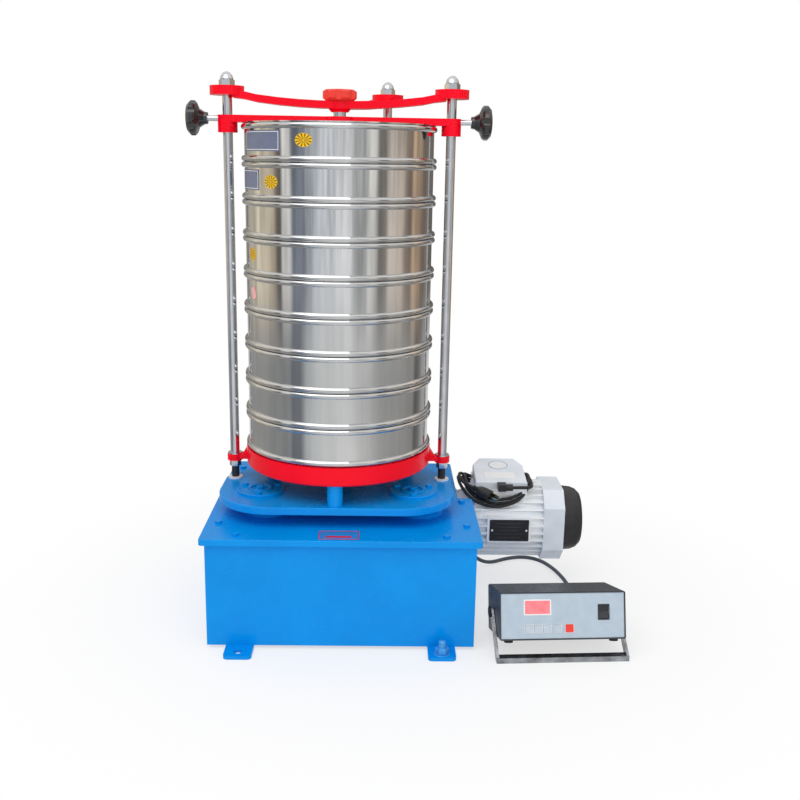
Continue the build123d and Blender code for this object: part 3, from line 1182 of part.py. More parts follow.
def make_cable_glands():
    """Gland in the box wall, gland in the controller's back and elbow gland on the terminal box."""
    wall_low = WALL_X - BOX_WALL - 4
    wall = rod_x(GLAND_NECK_RADIUS, wall_low, WALL_X, CABLE_GLAND_Y, CABLE_GLAND_Z)
    wall += rod_x(GLAND_RADIUS, WALL_X, WALL_X + GLAND_LENGTH * 0.5, CABLE_GLAND_Y, CABLE_GLAND_Z)
    wall += rod_x(GLAND_NECK_RADIUS, WALL_X + GLAND_LENGTH * 0.5, WALL_X + GLAND_LENGTH,
                  CABLE_GLAND_Y, CABLE_GLAND_Z)
    rear = rod_y(GLAND_NECK_RADIUS, CASE_DEPTH - 5, CASE_DEPTH + GLAND_LENGTH, REAR_GLAND_X, REAR_GLAND_Z)
    rear += rod_y(GLAND_RADIUS, CASE_DEPTH, CASE_DEPTH + GLAND_LENGTH * 0.5, REAR_GLAND_X, REAR_GLAND_Z)
    front = MOTOR_Y - TERMINAL_DEPTH / 2
    elbow = block(LEAD_GLAND_X - 14, LEAD_GLAND_X, LEAD_GLAND_Y - 6, front, LEAD_GLAND_Z - 6, LEAD_GLAND_Z + 6)
    elbow += rod_x(GLAND_NECK_RADIUS, LEAD_GLAND_X, LEAD_GLAND_X + 12, LEAD_GLAND_Y, LEAD_GLAND_Z)
    return group([wall, CASE * rear, elbow])


def cord_tube(points, radius):
    """Round tube along straight runs joined by tangent arcs, each as large as its runs allow."""
    route = [Vector(*p) for p in points]
    radii = []
    for before, here, after in zip(route, route[1:], route[2:]):
        turn = radians((here - before).get_angle(after - here))
        run = min((here - before).length, (after - here).length)
        radii.append(0.45 * run / tan(turn / 2))
    path = FilletPolyline(*points, radius=radii)
    profile = Plane(origin=path @ 0, z_dir=path % 0) * Circle(radius)
    tube = sweep(profile, path)
    ratio = tube.volume / (pi * radius ** 2 * path.length)
    print("cord radii", [round(r, 1) for r in radii], "length", round(path.length, 1), "ratio", round(ratio, 5))
    return tube


rear_exit = (CASE * Pos(REAR_GLAND_X, CASE_DEPTH + GLAND_LENGTH, REAR_GLAND_Z)).position
rear_run = (CASE * Pos(REAR_GLAND_X, CASE_DEPTH + GLAND_LENGTH + 16, REAR_GLAND_Z)).position
CABLE_FLOOR = 4.0
CABLE_ROUTE = [
    (WALL_X + GLAND_LENGTH, CABLE_GLAND_Y, CABLE_GLAND_Z),
    (224.0, 138.0, 30.0),
    (241.0, 139.0, 22.0),
    (257.0, 142.0, 10.0),
    (277.0, 150.0, 4.2),
    (308.0, 172.0, CABLE_FLOOR),
    (343.0, 182.0, CABLE_FLOOR),
    (373.0, 166.0, CABLE_FLOOR),
    (392.0, 128.0, CABLE_FLOOR),
    (404.0, 80.0, CABLE_FLOOR),
    (409.0, 28.0, CABLE_FLOOR),
    (406.0, -20.0, CABLE_FLOOR),
    (401.0, -50.0, 5.0),
    (rear_run.X, rear_run.Y, rear_run.Z),
    (rear_exit.X, rear_exit.Y, rear_exit.Z),
]


def make_control_cable():
    return cord_tube(CABLE_ROUTE, CABLE_RADIUS)


def make_mains_lead_coil():
    """Outer shape of the turns of lead that are laid round the terminal box and rest on the barrel."""
    width = COIL_HIGH_X - COIL_LOW_X
    depth = COIL_HIGH_Y - COIL_LOW_Y
    plan = Pos((COIL_LOW_X + COIL_HIGH_X) / 2, (COIL_LOW_Y + COIL_HIGH_Y) / 2) * RectangleRounded(
        width, depth, COIL_CORNER)
    right = TERMINAL_X + TERMINAL_WIDTH / 2 + 1.5
    front = MOTOR_Y - TERMINAL_DEPTH / 2 - 1.5
    back = MOTOR_Y + TERMINAL_DEPTH / 2 + 1.5
    hole = Pos((COIL_INNER_LOW_X + right) / 2, (front + back) / 2) * RectangleRounded(
        right - COIL_INNER_LOW_X, back - front, 5)
    ring = Pos(0, 0, COIL_BOTTOM_Z) * extrude(plan - hole, 60)
    ring &= rod_x(coil_outer_radius, COIL_LOW_X - 1, COIL_HIGH_X + 1, MOTOR_Y, MOTOR_Z)
    ring -= rod_x(coil_inner_radius, COIL_LOW_X - 2, COIL_HIGH_X + 2, MOTOR_Y, MOTOR_Z)
    return ring


PLUG = Pos(*PLUG_PLACE) * Rot(0, 0, PLUG_YAW) * Rot(0, PLUG_DIP, 0)


def make_mains_plug():
    """Moulded plug with a tapered strain relief and three flat pins."""
    half = PLUG_LENGTH / 2
    body = Box(PLUG_LENGTH, PLUG_WIDTH, PLUG_THICK)
    body = fillet(body.edges(), 3.0)
    relief = Pos(-half - PLUG_RELIEF / 2 + 0.5, 0, 0) * Rot(0, 90, 0) * Cone(4.2, 6.5, PLUG_RELIEF + 1)
    plug = body + relief
    for y, z in ((-6.5, -2.0), (6.5, -2.0), (0.0, 4.0)):
        plug += Pos(half + PLUG_PIN_LENGTH / 2 - 1, y, z) * Box(PLUG_PIN_LENGTH + 2, 2.0, 6.0)
    return PLUG * plug


plug_tail = (PLUG * Pos(-PLUG_LENGTH / 2 - PLUG_RELIEF, 0, 0)).position
plug_run = (PLUG * Pos(-PLUG_LENGTH / 2 - PLUG_RELIEF - 12, 0, 0)).position
LEAD_START = [
    (LEAD_GLAND_X + 12, LEAD_GLAND_Y, LEAD_GLAND_Z),
    (311.0, LEAD_GLAND_Y, LEAD_GLAND_Z),
    (324.5, 32.3, 197.0),
    (332.0, 46.7, 193.0),
    (332.0, 66.0, 189.0),
]
LEAD_END = [
    (plug_tail.X, plug_tail.Y, plug_tail.Z),
    (plug_run.X, plug_run.Y, plug_run.Z),
    (205.6, 45.5, 203.5),
    (202.3, 57.0, 206.5),
    (202.0, 70.0, 207.5),
    (202.5, 84.0, 202.0),
]


def make_mains_lead(coil):
    """The two short free ends of the lead, gland to coil and plug to coil, ending on the coil's surface."""
    ends = [cord_tube(route, LEAD_RADIUS) - coil for route in (LEAD_START, LEAD_END)]
    return group([end.solids().sort_by(SortBy.VOLUME)[-1] for end in ends])


# Writing the pieces

write("base_box", make_base_box())
write("deck_plate", make_deck_plate())
write("deck_screws", make_deck_screws())
write("deck_bearings", make_deck_bearings())
write("bearing_blocks", make_bearing_blocks())
write("drive_belt", make_drive_belt())
write("left_eccentric", make_eccentric(*ECCENTRICS[0]))
write("right_eccentric", make_eccentric(*ECCENTRICS[1]))
write("drive_shaft", make_drive_shaft())
write("worm_wheel", make_worm_wheel())
write("motor_shaft", make_motor_shaft())
write("cooling_fan", make_cooling_fan())
write("motor_flange", make_motor_flange())
write("motor_body", make_motor_body())
write("motor_shroud", make_motor_shroud())
write("motor_fan_cover", make_motor_fan_cover())
write("terminal_box", make_terminal_box())
write("terminal_box_lid", make_terminal_box_lid())
write("cam_shaft", make_cam_shaft())
write("jolt_cam", make_jolt_cam())
write("jolt_rod", make_jolt_rod())
write("swing_plate", make_swing_plate())
write("plate_bearings", make_plate_bearings())
write("bearing_covers", make_bearing_covers())
write("cover_screws", make_cover_screws())
write("guide_bushes", make_guide_bushes())
write("support_columns", make_support_columns())
write("sieve_tray", make_sieve_tray())
write("posts", make_posts())
write("guide_pins", make_guide_pins())
write("post_nuts", make_post_nuts())
write("upper_yoke", make_upper_yoke())
write("bottom_pan", make_bottom_pan())
write("sieve_frames", make_sieve_frames())
write("sieve_meshes", make_sieve_meshes())
write("sieve_lid", make_sieve_lid())
write("clamp_yoke", make_clamp_yoke())
write("pressure_screw", make_pressure_screw())
write("screw_knob", make_screw_knob())
write("left_lock_stud", make_lock_stud(POST_ANGLES[0]))
write("left_lock_knob", make_lock_knob(POST_ANGLES[0]))
write("right_lock_stud", make_lock_stud(POST_ANGLES[1]))
write("right_lock_knob", make_lock_knob(POST_ANGLES[1]))
write("controller_case", make_controller_case())
write("controller_panel", make_controller_panel())
write("display_window", make_display_window())
write("controller_fittings", make_controller_fittings())
write("bail_handle", make_bail_handle())
write("rocker_switch", make_rocker_switch())
for number, place in enumerate(KEYS[:4], start=1):
    write("key_" + str(number), make_key(place))
write("start_key", make_key(KEYS[4]))
write("cable_glands", make_cable_glands())
write("control_cable", make_control_cable())
lead_coil = write("mains_lead_coil", make_mains_lead_coil())
write("mains_lead", make_mains_lead(lead_coil))
write("mains_plug", make_mains_plug())
print("pivot", PIVOT_Y, PIVOT_Z, "cam z", CAM_Z, "heights", TRAY_BOTTOM, FIRST_JOINT, STACK_TOP, CLAMP_TOP)
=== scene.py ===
"""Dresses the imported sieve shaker: finishes, cords, labels, lights and the photograph's camera."""
from math import cos, pi, radians, sin

import bpy
import numpy as np
from mathutils import Matrix


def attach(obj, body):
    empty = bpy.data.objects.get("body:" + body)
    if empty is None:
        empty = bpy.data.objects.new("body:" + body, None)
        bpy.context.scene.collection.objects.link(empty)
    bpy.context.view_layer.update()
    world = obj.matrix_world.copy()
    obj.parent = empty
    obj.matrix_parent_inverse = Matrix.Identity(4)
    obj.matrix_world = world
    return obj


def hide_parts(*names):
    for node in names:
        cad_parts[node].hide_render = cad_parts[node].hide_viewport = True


bl_info = {
    "name": "Sieve shaker",
    "version": (1, 0, 0),
    "blender": (4, 5, 0),
    "location": "3D View > Sidebar > Sieve shaker",
    "description": "Finishes, cords, labels and stage of a laboratory sieve shaker",
    "category": "Object",
}

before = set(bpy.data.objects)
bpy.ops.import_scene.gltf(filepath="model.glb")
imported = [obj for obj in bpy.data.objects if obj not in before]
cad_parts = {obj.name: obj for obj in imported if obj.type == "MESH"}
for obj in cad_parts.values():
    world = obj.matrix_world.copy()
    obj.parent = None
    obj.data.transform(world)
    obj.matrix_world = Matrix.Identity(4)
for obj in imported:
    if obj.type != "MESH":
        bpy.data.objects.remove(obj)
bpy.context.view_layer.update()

MM = 0.001


# Colours and nodes

def linear(text, alpha=1.0):
    """Turns an sRGB hex value such as '#1e90ff' into linear RGBA."""
    value = np.array([int(text[i:i + 2], 16) for i in (1, 3, 5)]) / 255.0
    low = value / 12.92
    high = ((value + 0.055) / 1.055) ** 2.4
    return (*np.where(value <= 0.04045, low, high).tolist(), alpha)


def fill(tree, node, inputs):
    """Fills a node's inputs by name: a socket is linked, a value is set."""
    for name, value in inputs.items():
        if isinstance(value, bpy.types.NodeSocket):
            tree.links.new(value, node.inputs[name])
        else:
            node.inputs[name].default_value = value


def add_node(tree, kind, settings=None, inputs=None):
    """Adds a node, sets its properties and fills its inputs."""
    made = tree.nodes.new(kind)
    for name, value in (settings or {}).items():
        setattr(made, name, value)
    fill(tree, made, inputs or {})
    return made


def new_material(name):
    """Empty node material: its tree, its Principled shader and the Object coordinates."""
    material = bpy.data.materials.new(name)
    material.use_nodes = True
    tree = material.node_tree
    tree.nodes.clear()
    output = add_node(tree, "ShaderNodeOutputMaterial")
    shader = add_node(tree, "ShaderNodeBsdfPrincipled")
    tree.links.new(shader.outputs[0], output.inputs[0])
    place = add_node(tree, "ShaderNodeTexCoord").outputs["Object"]
    return material, tree, shader, place


def noise(tree, place, size_mm, detail=3.0, rough=0.5, stretch=(1, 1, 1)):
    """Noise with blobs of about size_mm, stretched along the axes by the given factors."""
    scaled = add_node(tree, "ShaderNodeMapping", inputs={"Vector": place, "Scale": [1 / s for s in stretch]})
    return add_node(tree, "ShaderNodeTexNoise", inputs={
        "Vector": scaled.outputs[0], "Scale": 1000.0 / size_mm, "Detail": detail,
        "Roughness": rough}).outputs[0]


def spread(tree, value, low, high):
    """Maps a noise value, which mostly lies between 0.3 and 0.7, onto low..high."""
    return add_node(tree, "ShaderNodeMapRange", inputs={
        "Value": value, "From Min": 0.3, "From Max": 0.7, "To Min": low, "To Max": high}).outputs[0]


def tinted(tree, value, first, second):
    """Colour that goes from first to second with value."""
    return add_node(tree, "ShaderNodeMix", {"data_type": "RGBA"}, {
        "Factor": value, "A": linear(first), "B": linear(second)}).outputs["Result"]


def clouded(tree, place, size_mm, first, second, detail=3.0):
    """Colour that drifts between first and second in soft clouds of about size_mm."""
    return tinted(tree, spread(tree, noise(tree, place, size_mm, detail), 0, 1), first, second)


def bumped(tree, value, depth_mm):
    """Normal that follows a height value, depth_mm from its low to its high."""
    return add_node(tree, "ShaderNodeBump", inputs={
        "Height": value, "Distance": depth_mm * MM, "Strength": 1.0}).outputs[0]


# Materials

def stoving_enamel(name, colour, shade, roughness=0.24):
    """Stoving enamel on steel, sprayed: even colour, wet gloss, faint waves of orange peel 3 mm wide."""
    material, tree, shader, place = new_material(name)
    fill(tree, shader, {
        "Base Color": clouded(tree, place, 90, colour, shade),
        "Roughness": spread(tree, noise(tree, place, 25), roughness - 0.04, roughness + 0.06),
        "Normal": bumped(tree, noise(tree, place, 3.0, 1), 0.02),
        "IOR": 1.5,
        "Specular IOR Level": 0.16,
        "Coat Weight": 0.06,
        "Coat Roughness": 0.12,
    })
    return material


def polished_stainless():
    """Mirror-polished 304 stainless sheet, rolled and buffed: clear reflections that waver a little,
    and hairlines of the buffing wheel along the roll, drawn 0.8 mm apart so that they show."""
    material, tree, shader, place = new_material("polished_stainless_sheet")
    fill(tree, shader, {
        "Base Color": clouded(tree, place, 120, "#dddddc", "#d0d0d0", 2),
        "Roughness": spread(tree, noise(tree, place, 0.8, 2, 0.6, (60, 60, 1)), 0.03, 0.1),
        "Normal": bumped(tree, noise(tree, place, 60, 1, 0.4, (1, 1, 2.5)), 0.25),
        "Metallic": 1.0,
    })
    return material


def rolled_bead_stainless():
    """The same sheet where it's drawn into beads: a little duller from the rolling tool."""
    material, tree, shader, place = new_material("rolled_stainless_bead")
    fill(tree, shader, {
        "Base Color": clouded(tree, place, 40, "#dcdad6", "#cfccc8"),
        "Roughness": spread(tree, noise(tree, place, 1.0, 2, 0.6, (40, 40, 1)), 0.16, 0.28),
        "Metallic": 1.0,
    })
    return material


def chromed_steel():
    """Hard chrome on ground steel bar: a clear mirror with very fine cross grinding."""
    material, tree, shader, place = new_material("chrome_plated_steel")
    fill(tree, shader, {
        "Base Color": clouded(tree, place, 30, "#dfe0e3", "#cfd1d6"),
        "Roughness": spread(tree, noise(tree, place, 1.5, 2, 0.6, (8, 8, 1)), 0.07, 0.15),
        "Metallic": 1.0,
    })
    return material


def turned_steel(name, colour="#9a9ca0", roughness=0.32):
    """Turned carbon steel, oiled: satin with tool marks 0.7 mm apart."""
    material, tree, shader, place = new_material(name)
    fill(tree, shader, {
        "Base Color": clouded(tree, place, 20, colour, "#7d7f84"),
        "Roughness": spread(tree, noise(tree, place, 0.7, 2, 0.5, (30, 30, 1)),
                            roughness - 0.08, roughness + 0.1),
        "Metallic": 1.0,
    })
    return material


def cast_metal(name, colour, shade, metallic=0.0, roughness=0.45, grain_mm=1.2, depth_mm=0.12):
    """Die-cast or sand-cast metal, painted or bare: a pebbled skin with soft clouding."""
    material, tree, shader, place = new_material(name)
    fill(tree, shader, {
        "Base Color": clouded(tree, place, 35, colour, shade),
        "Roughness": spread(tree, noise(tree, place, 8), roughness - 0.06, roughness + 0.08),
        "Normal": bumped(tree, noise(tree, place, grain_mm, 2), depth_mm),
        "Metallic": metallic,
    })
    return material


def moulded_plastic(name, colour, shade, roughness=0.4, grain_mm=0.8, depth_mm=0.04, coat=0.0):
    """Injection-moulded plastic: even colour with the fine spark-eroded grain of its mould."""
    material, tree, shader, place = new_material(name)
    fill(tree, shader, {
        "Base Color": clouded(tree, place, 15, colour, shade),
        "Roughness": spread(tree, noise(tree, place, 5), roughness - 0.05, roughness + 0.05),
        "Normal": bumped(tree, noise(tree, place, grain_mm, 1), depth_mm),
        "IOR": 1.49,
        "Coat Weight": coat,
    })
    return material


def lit_display():
    """Red acrylic window over a lit number display: even glow behind a clear gloss face."""
    material, tree, shader, place = new_material("red_acrylic_window")
    glow = clouded(tree, place, 12, "#f06a72", "#f57f86")
    fill(tree, shader, {
        "Base Color": glow, "Emission Color": glow, "Emission Strength": 0.35, "Roughness": 0.15})
    return material


FINISHES = {
    "stoved_blue_enamel": lambda: stoving_enamel("stoved_blue_enamel", "#0097ec", "#008ee2"),
    "stoved_red_enamel": lambda: stoving_enamel("stoved_red_enamel", "#ff0024", "#f80020", 0.2),
    "polished_stainless_sheet": polished_stainless,
    "rolled_stainless_bead": rolled_bead_stainless,
    "chrome_plated_steel": chromed_steel,
    "turned_steel": lambda: turned_steel("turned_steel"),
    "grey_cast_iron": lambda: cast_metal("grey_cast_iron", "#4a4b4d", "#3b3c3e", 0.6, 0.5, 2.0, 0.2),
    "turned_bronze": lambda: turned_steel("turned_bronze", "#b98a4a", 0.3),
    "grey_painted_casting": lambda: cast_metal("grey_painted_casting", "#eaf0f7", "#dfe6ee"),
    # The fins' copy of the motor's grey paint is pure white, lighter than the casting's: painted light that
    # makes up for the shade that falls between the fins.
    "grey_fins_brightened_against_shade": lambda: cast_metal("grey_fins_brightened_against_shade", "#ffffff", "#f6f9fc", 0.0, 0.4),
    "black_moulded_cowl": lambda: moulded_plastic(
        "black_moulded_cowl", "#2b2b2d", "#222224", 0.42, 1.2, 0.06),
    "black_phenolic_knob": lambda: moulded_plastic(
        "black_phenolic_knob", "#1c1d20", "#26272b", 0.12, 2.5, 0.02, 0.5),
    "red_moulded_knob": lambda: moulded_plastic("red_moulded_knob", "#f9382c", "#f04236", 0.35, 0.8, 0.05),
    "white_nylon": lambda: moulded_plastic("white_nylon", "#e9eaea", "#dddfe0", 0.4),
    "dark_case_enamel": lambda: cast_metal("dark_case_enamel", "#3a3e46", "#32363d", 0.0, 0.42, 0.9, 0.08),
    "printed_panel_film": lambda: moulded_plastic("printed_panel_film", "#bbcad7", "#b3c2d0", 0.4, 0.5, 0.02),
    "pale_key_film": lambda: moulded_plastic("pale_key_film", "#c2cfdb", "#bac8d4", 0.38, 0.5, 0.02),
    "red_acrylic_window": lit_display,
    "satin_steel_strip": lambda: turned_steel("satin_steel_strip", "#c2c5ca", 0.28),
    "black_rubber": lambda: moulded_plastic("black_rubber", "#1e1e1f", "#262627", 0.6, 1.0, 0.05),
    "grey_pvc_sheath": lambda: moulded_plastic("grey_pvc_sheath", "#56616b", "#4d5862", 0.45, 1.5, 0.03),
    "brass_pins": lambda: turned_steel("brass_pins", "#d8b468", 0.22),
    "engraved_black_plate": lambda: moulded_plastic(
        "engraved_black_plate", "#26272a", "#2e2f33", 0.35, 2.0, 0.05),
    "white_label_film": lambda: moulded_plastic("white_label_film", "#f4f5f6", "#eceef0", 0.4),
    "blue_label_print": lambda: moulded_plastic("blue_label_print", "#3f6fb5", "#4a78bb", 0.4),
    "slate_label_film": lambda: moulded_plastic("slate_label_film", "#6f7790", "#687089", 0.35),
    "yellow_label_film": lambda: moulded_plastic("yellow_label_film", "#f7c90c", "#efbf08", 0.35),
    "ochre_label_print": lambda: moulded_plastic("ochre_label_print", "#8f6206", "#835a05", 0.4),
    "pink_tag_film": lambda: moulded_plastic("pink_tag_film", "#f2b6b2", "#e8a9a5", 0.5),
    "red_sign_print": lambda: moulded_plastic("red_sign_print", "#e01030", "#d40c2c", 0.35),
    "nameplate_relief": lambda: moulded_plastic("nameplate_relief", "#3c3d41", "#444549", 0.4),
    "faded_sign_film": lambda: moulded_plastic("faded_sign_film", "#1c8fdc", "#3584cc", 0.4),
    "blue_splashed_zinc": lambda: cast_metal(
        "blue_splashed_zinc", "#2f9be6", "#6fb8ec", 0.35, 0.35, 2.0, 0.1),
    "woven_steel_mesh": lambda: turned_steel("woven_steel_mesh", "#b5b2a8", 0.35),
}

NODE_FINISHES = {
    "stoved_blue_enamel": ("base_box", "deck_plate", "deck_screws", "deck_bearings", "swing_plate",
                           "bearing_covers", "cover_screws", "support_columns", "left_eccentric",
                           "right_eccentric"),
    "stoved_red_enamel": ("sieve_tray", "upper_yoke", "clamp_yoke"),
    "polished_stainless_sheet": ("sieve_frames", "bottom_pan", "sieve_lid"),
    "woven_steel_mesh": ("sieve_meshes",),
    "chrome_plated_steel": ("posts", "post_nuts", "pressure_screw", "left_lock_stud", "right_lock_stud"),
    "turned_steel": ("drive_shaft", "motor_shaft", "cam_shaft", "jolt_cam", "jolt_rod", "plate_bearings"),
    "turned_bronze": ("worm_wheel",),
    "grey_cast_iron": ("bearing_blocks",),
    "black_rubber": ("drive_belt", "controller_fittings", "mains_lead", "mains_lead_coil"),
    "grey_painted_casting": ("motor_flange", "motor_shroud", "terminal_box", "terminal_box_lid"),
    # The motor's finned barrel takes the lightened copy of the grey paint: painted light against the shade
    # between its fins.
    "grey_fins_brightened_against_shade": ("motor_body",),
    "black_moulded_cowl": ("motor_fan_cover", "cooling_fan", "cable_glands", "guide_pins", "mains_plug"),
    "black_phenolic_knob": ("left_lock_knob", "right_lock_knob", "rocker_switch"),
    "red_moulded_knob": ("screw_knob", "start_key"),
    "white_nylon": ("guide_bushes",),
    "dark_case_enamel": ("controller_case",),
    "printed_panel_film": ("controller_panel",),
    "pale_key_film": ("key_1", "key_2", "key_3", "key_4"),
    "red_acrylic_window": ("display_window",),
    "satin_steel_strip": ("bail_handle",),
    "grey_pvc_sheath": ("control_cable",),
}
_made = {}


def finish_named(name):
    """The material of that name, made once."""
    if name not in _made:
        _made[name] = FINISHES[name]()
    return _made[name]


# Surfaces

def put_mesh(name, points, faces, finish, body, smooth=True):
    """Object at the origin from an array of points in millimetres and a list of faces, riding on a body."""
    mesh = bpy.data.meshes.new(name)
    mesh.from_pydata((np.asarray(points, float) * MM).tolist(), [], [list(map(int, f)) for f in faces])
    mesh.validate()
    mesh.shade_smooth() if smooth else mesh.shade_flat()
    mesh.materials.append(finish_named(finish))
    piece = bpy.data.objects.new(name, mesh)
    bpy.context.scene.collection.objects.link(piece)
    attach(piece, body)
    return piece


def grid_faces(rows, columns, wrap=False):
    """Quads of a grid of rows by columns points, closed along the columns when wrap is set."""
    row, column = np.meshgrid(np.arange(rows - 1), np.arange(columns if wrap else columns - 1), indexing="ij")
    after = (column + 1) % columns
    low, high = row * columns, (row + 1) * columns
    corners = [low + column, low + after, high + after, high + column]
    return np.stack([c.ravel() for c in corners], axis=1)


def capped(rings):
    """Points and faces of a closed piece: rings of points, outline by outline from low to high, joined by
    quads, with a point in the middle of the first and last ring where fans of triangles close it."""
    rings = np.asarray(rings, float)
    count, columns = rings.shape[:2]
    points = np.concatenate([rings.reshape(-1, 3), rings[:1].mean(axis=1), rings[-1:].mean(axis=1)])
    here = np.arange(columns)
    after = (here + 1) % columns
    last = (count - 1) * columns
    low = np.column_stack([after, here, np.full(columns, count * columns)])
    high = np.column_stack([last + here, last + after, np.full(columns, count * columns + 1)])
    return points, grid_faces(count, columns, wrap=True).tolist() + low.tolist() + high.tolist()


def rounded_outline(width, height, corner, steps=6):
    """Outline of a rectangle with rounded corners: a quarter circle about each corner's centre in turn."""
    quarter = np.linspace(0, pi / 2, steps)
    parts = []
    for turn, (sx, sy) in enumerate(((1, 1), (-1, 1), (-1, -1), (1, -1))):
        a = quarter + turn * pi / 2
        parts.append(np.stack([sx * (width / 2 - corner) + corner * np.cos(a),
                               sy * (height / 2 - corner) + corner * np.sin(a)], axis=-1))
    return np.concatenate(parts)


def slab(width, height, thick, corner):
    """Closed plate with rounded corners in the XY plane, from z = 0 to thick: its outline is carried up and
    drawn in a little at both faces."""
    outline = rounded_outline(width, height, corner)
    edge = min(thick * 0.3, corner * 0.5)
    inner = outline * [1 - 2 * edge / width, 1 - 2 * edge / height]
    layers = ((inner, 0), (outline, edge), (outline, thick - edge), (inner, thick))
    return capped([np.column_stack([ring, np.full(len(ring), z)]) for ring, z in layers])


def circle(radius, segments):
    """Outline of a circle about the origin."""
    angle = np.arange(segments) * 2 * pi / segments
    return radius * np.column_stack([np.cos(angle), np.sin(angle)])


def lathe(profile, segments):
    """Closed piece from a profile of (radius, height) turned about Z: the point at angle u is
    (r cos u, r sin u, z). The profile runs up from one end face to the other."""
    return capped([np.column_stack([circle(r, segments), np.full(segments, z)]) for r, z in profile])


def closed_ring(outer, inner, low, high):
    """Closed flat ring between two outlines with as many points each, from z = low to high. Its quads run up
    the outside, over the top, down the inside, and back to the first loop along the underside."""
    loops = ((outer, low), (outer, high), (inner, high), (inner, low))
    points = np.concatenate([np.column_stack([loop, np.full(len(loop), z)]) for loop, z in loops])
    faces = grid_faces(len(loops) + 1, len(outer), wrap=True)
    return points, (faces % len(points)).tolist()


def frame_strip(width, height, line, thick, corner):
    """Printed frame: a closed ring between two rounded rectangles, line wide."""
    inner = rounded_outline(width - 2 * line, height - 2 * line, max(corner - line, 0.2))
    return closed_ring(rounded_outline(width, height, corner), inner, 0.0, thick)


def placed(points, origin, right, up):
    """Moves points so that their x runs along right, their y along up and their z along right x up."""
    right, up = np.asarray(right, float), np.asarray(up, float)
    right, up = right / np.linalg.norm(right), up / np.linalg.norm(up)
    return points @ np.array([right, up, np.cross(right, up)]) + np.asarray(origin, float)


def joined(*parts):
    """One mesh from several (points, faces)."""
    points, faces, start = [], [], 0
    for part_points, part_faces in parts:
        points.append(part_points)
        faces += [[start + int(i) for i in face] for face in part_faces]
        start += len(part_points)
    return np.concatenate(points), faces


def wrapped(points, radius, centre, angle, height):
    """Bends flat points (x along the arc, y up, z out) round an upright cylinder at the given angle."""
    turn = radians(angle) + points[:, 0] / radius
    reach = radius + points[:, 2]
    return np.column_stack([centre[0] + reach * np.cos(turn), centre[1] + reach * np.sin(turn),
                            height + points[:, 1]])


# Settings

class ShakerSettings(bpy.types.PropertyGroup):
    """Sizes and colours that a user of this part may want to change."""

    label_thick: bpy.props.FloatProperty(
        name="Label thickness", description="Thickness of the printed labels",
        default=0.35, min=0.1, max=2.0)
    camera_lens: bpy.props.FloatProperty(
        name="Lens", description="Focal length of the photograph's camera",
        default=44.55, min=10.0, max=200.0)
    daylight: bpy.props.FloatProperty(
        name="Daylight", description="Strength of the even light from all round",
        default=0.72, min=0.0, max=5.0)
    key_power: bpy.props.FloatProperty(
        name="Key light", description="Power of the large lamp above the front",
        default=26.0, min=0.0, max=1000.0, subtype="POWER")
    fill_power: bpy.props.FloatProperty(
        name="Fill light", description="Power of the lamp beside the camera",
        default=8.0, min=0.0, max=1000.0, subtype="POWER")
    floor_colour: bpy.props.FloatVectorProperty(
        name="Floor", description="Colour of the floor", subtype="COLOR",
        default=(0.96, 0.96, 0.96), min=0.0, max=1.0)


# Camera as fitted to the photograph, in millimetres and radians

CAMERA_PLACE = np.array([60.0, -1637.5, 759.1])
CAMERA_YAW = 0.0191
CAMERA_DIP = 0.2378
CAMERA_ROLL = 0.0177


def camera_axes():
    """Right, up and forward of the fitted camera."""
    level = np.array([sin(CAMERA_YAW), cos(CAMERA_YAW), 0.0])
    forward = level * cos(CAMERA_DIP) - np.array([0.0, 0.0, sin(CAMERA_DIP)])
    right = np.array([cos(CAMERA_YAW), -sin(CAMERA_YAW), 0.0])
    up = np.cross(right, forward)
    rolled_right = cos(CAMERA_ROLL) * right + sin(CAMERA_ROLL) * up
    rolled_up = -sin(CAMERA_ROLL) * right + cos(CAMERA_ROLL) * up
    return rolled_right, rolled_up, forward


# Half the floor's side, in metres

FLOOR_HALF = 14.0

# What the polished metal mirrors: the workshop round the machine. Each entry is the bearing where a thing
# stands, in degrees to the right of the front, and its colour at eye height.
WORKSHOP = [
    (-180, "#8c8a86"), (-140, "#b0a898"), (-116, "#efe3cc"), (-86, "#dccfb8"), (-78, "#76706a"),
    (-73, "#6c6862"), (-69, "#f6f4f0"), (-60, "#efedea"), (-55, "#868c98"), (-42, "#868c98"),
    (-35, "#bcc2ca"), (-14, "#e6e9ee"), (16, "#eef0f2"), (26, "#b8babb"), (34, "#c0c0c0"),
    (39, "#ecebe8"), (47, "#dcd9d4"), (51, "#918d89"), (60, "#8e8985"), (65, "#dcd2c8"),
    (84, "#cfc1b3"), (91, "#8d8077"), (98, "#94867a"), (105, "#cfb498"), (117, "#bfa78e"),
    (126, "#86796f"), (146, "#77726c"),
]

# The same directions down on the floor: its pale sheen in front and the dark feet of what stands round it.
WORKSHOP_FLOOR = [
    (-180, "#e6e6e5"), (-160, "#d4d4d2"), (-144, "#a4a4a3"), (-104, "#a0a09f"), (-70, "#929394"),
    (-61, "#96989b"), (-57, "#74777e"), (-46, "#7d8087"), (-38, "#bfc2c4"), (-22, "#dadcdd"),
    (12, "#e8e9e9"), (28, "#d8d8d8"), (46, "#c0c0bf"), (64, "#aaaaa8"), (92, "#a5a4a2"),
    (109, "#999896"), (115, "#6a6968"), (124, "#7a7978"), (142, "#c8c8c7"), (160, "#dededd"),
]


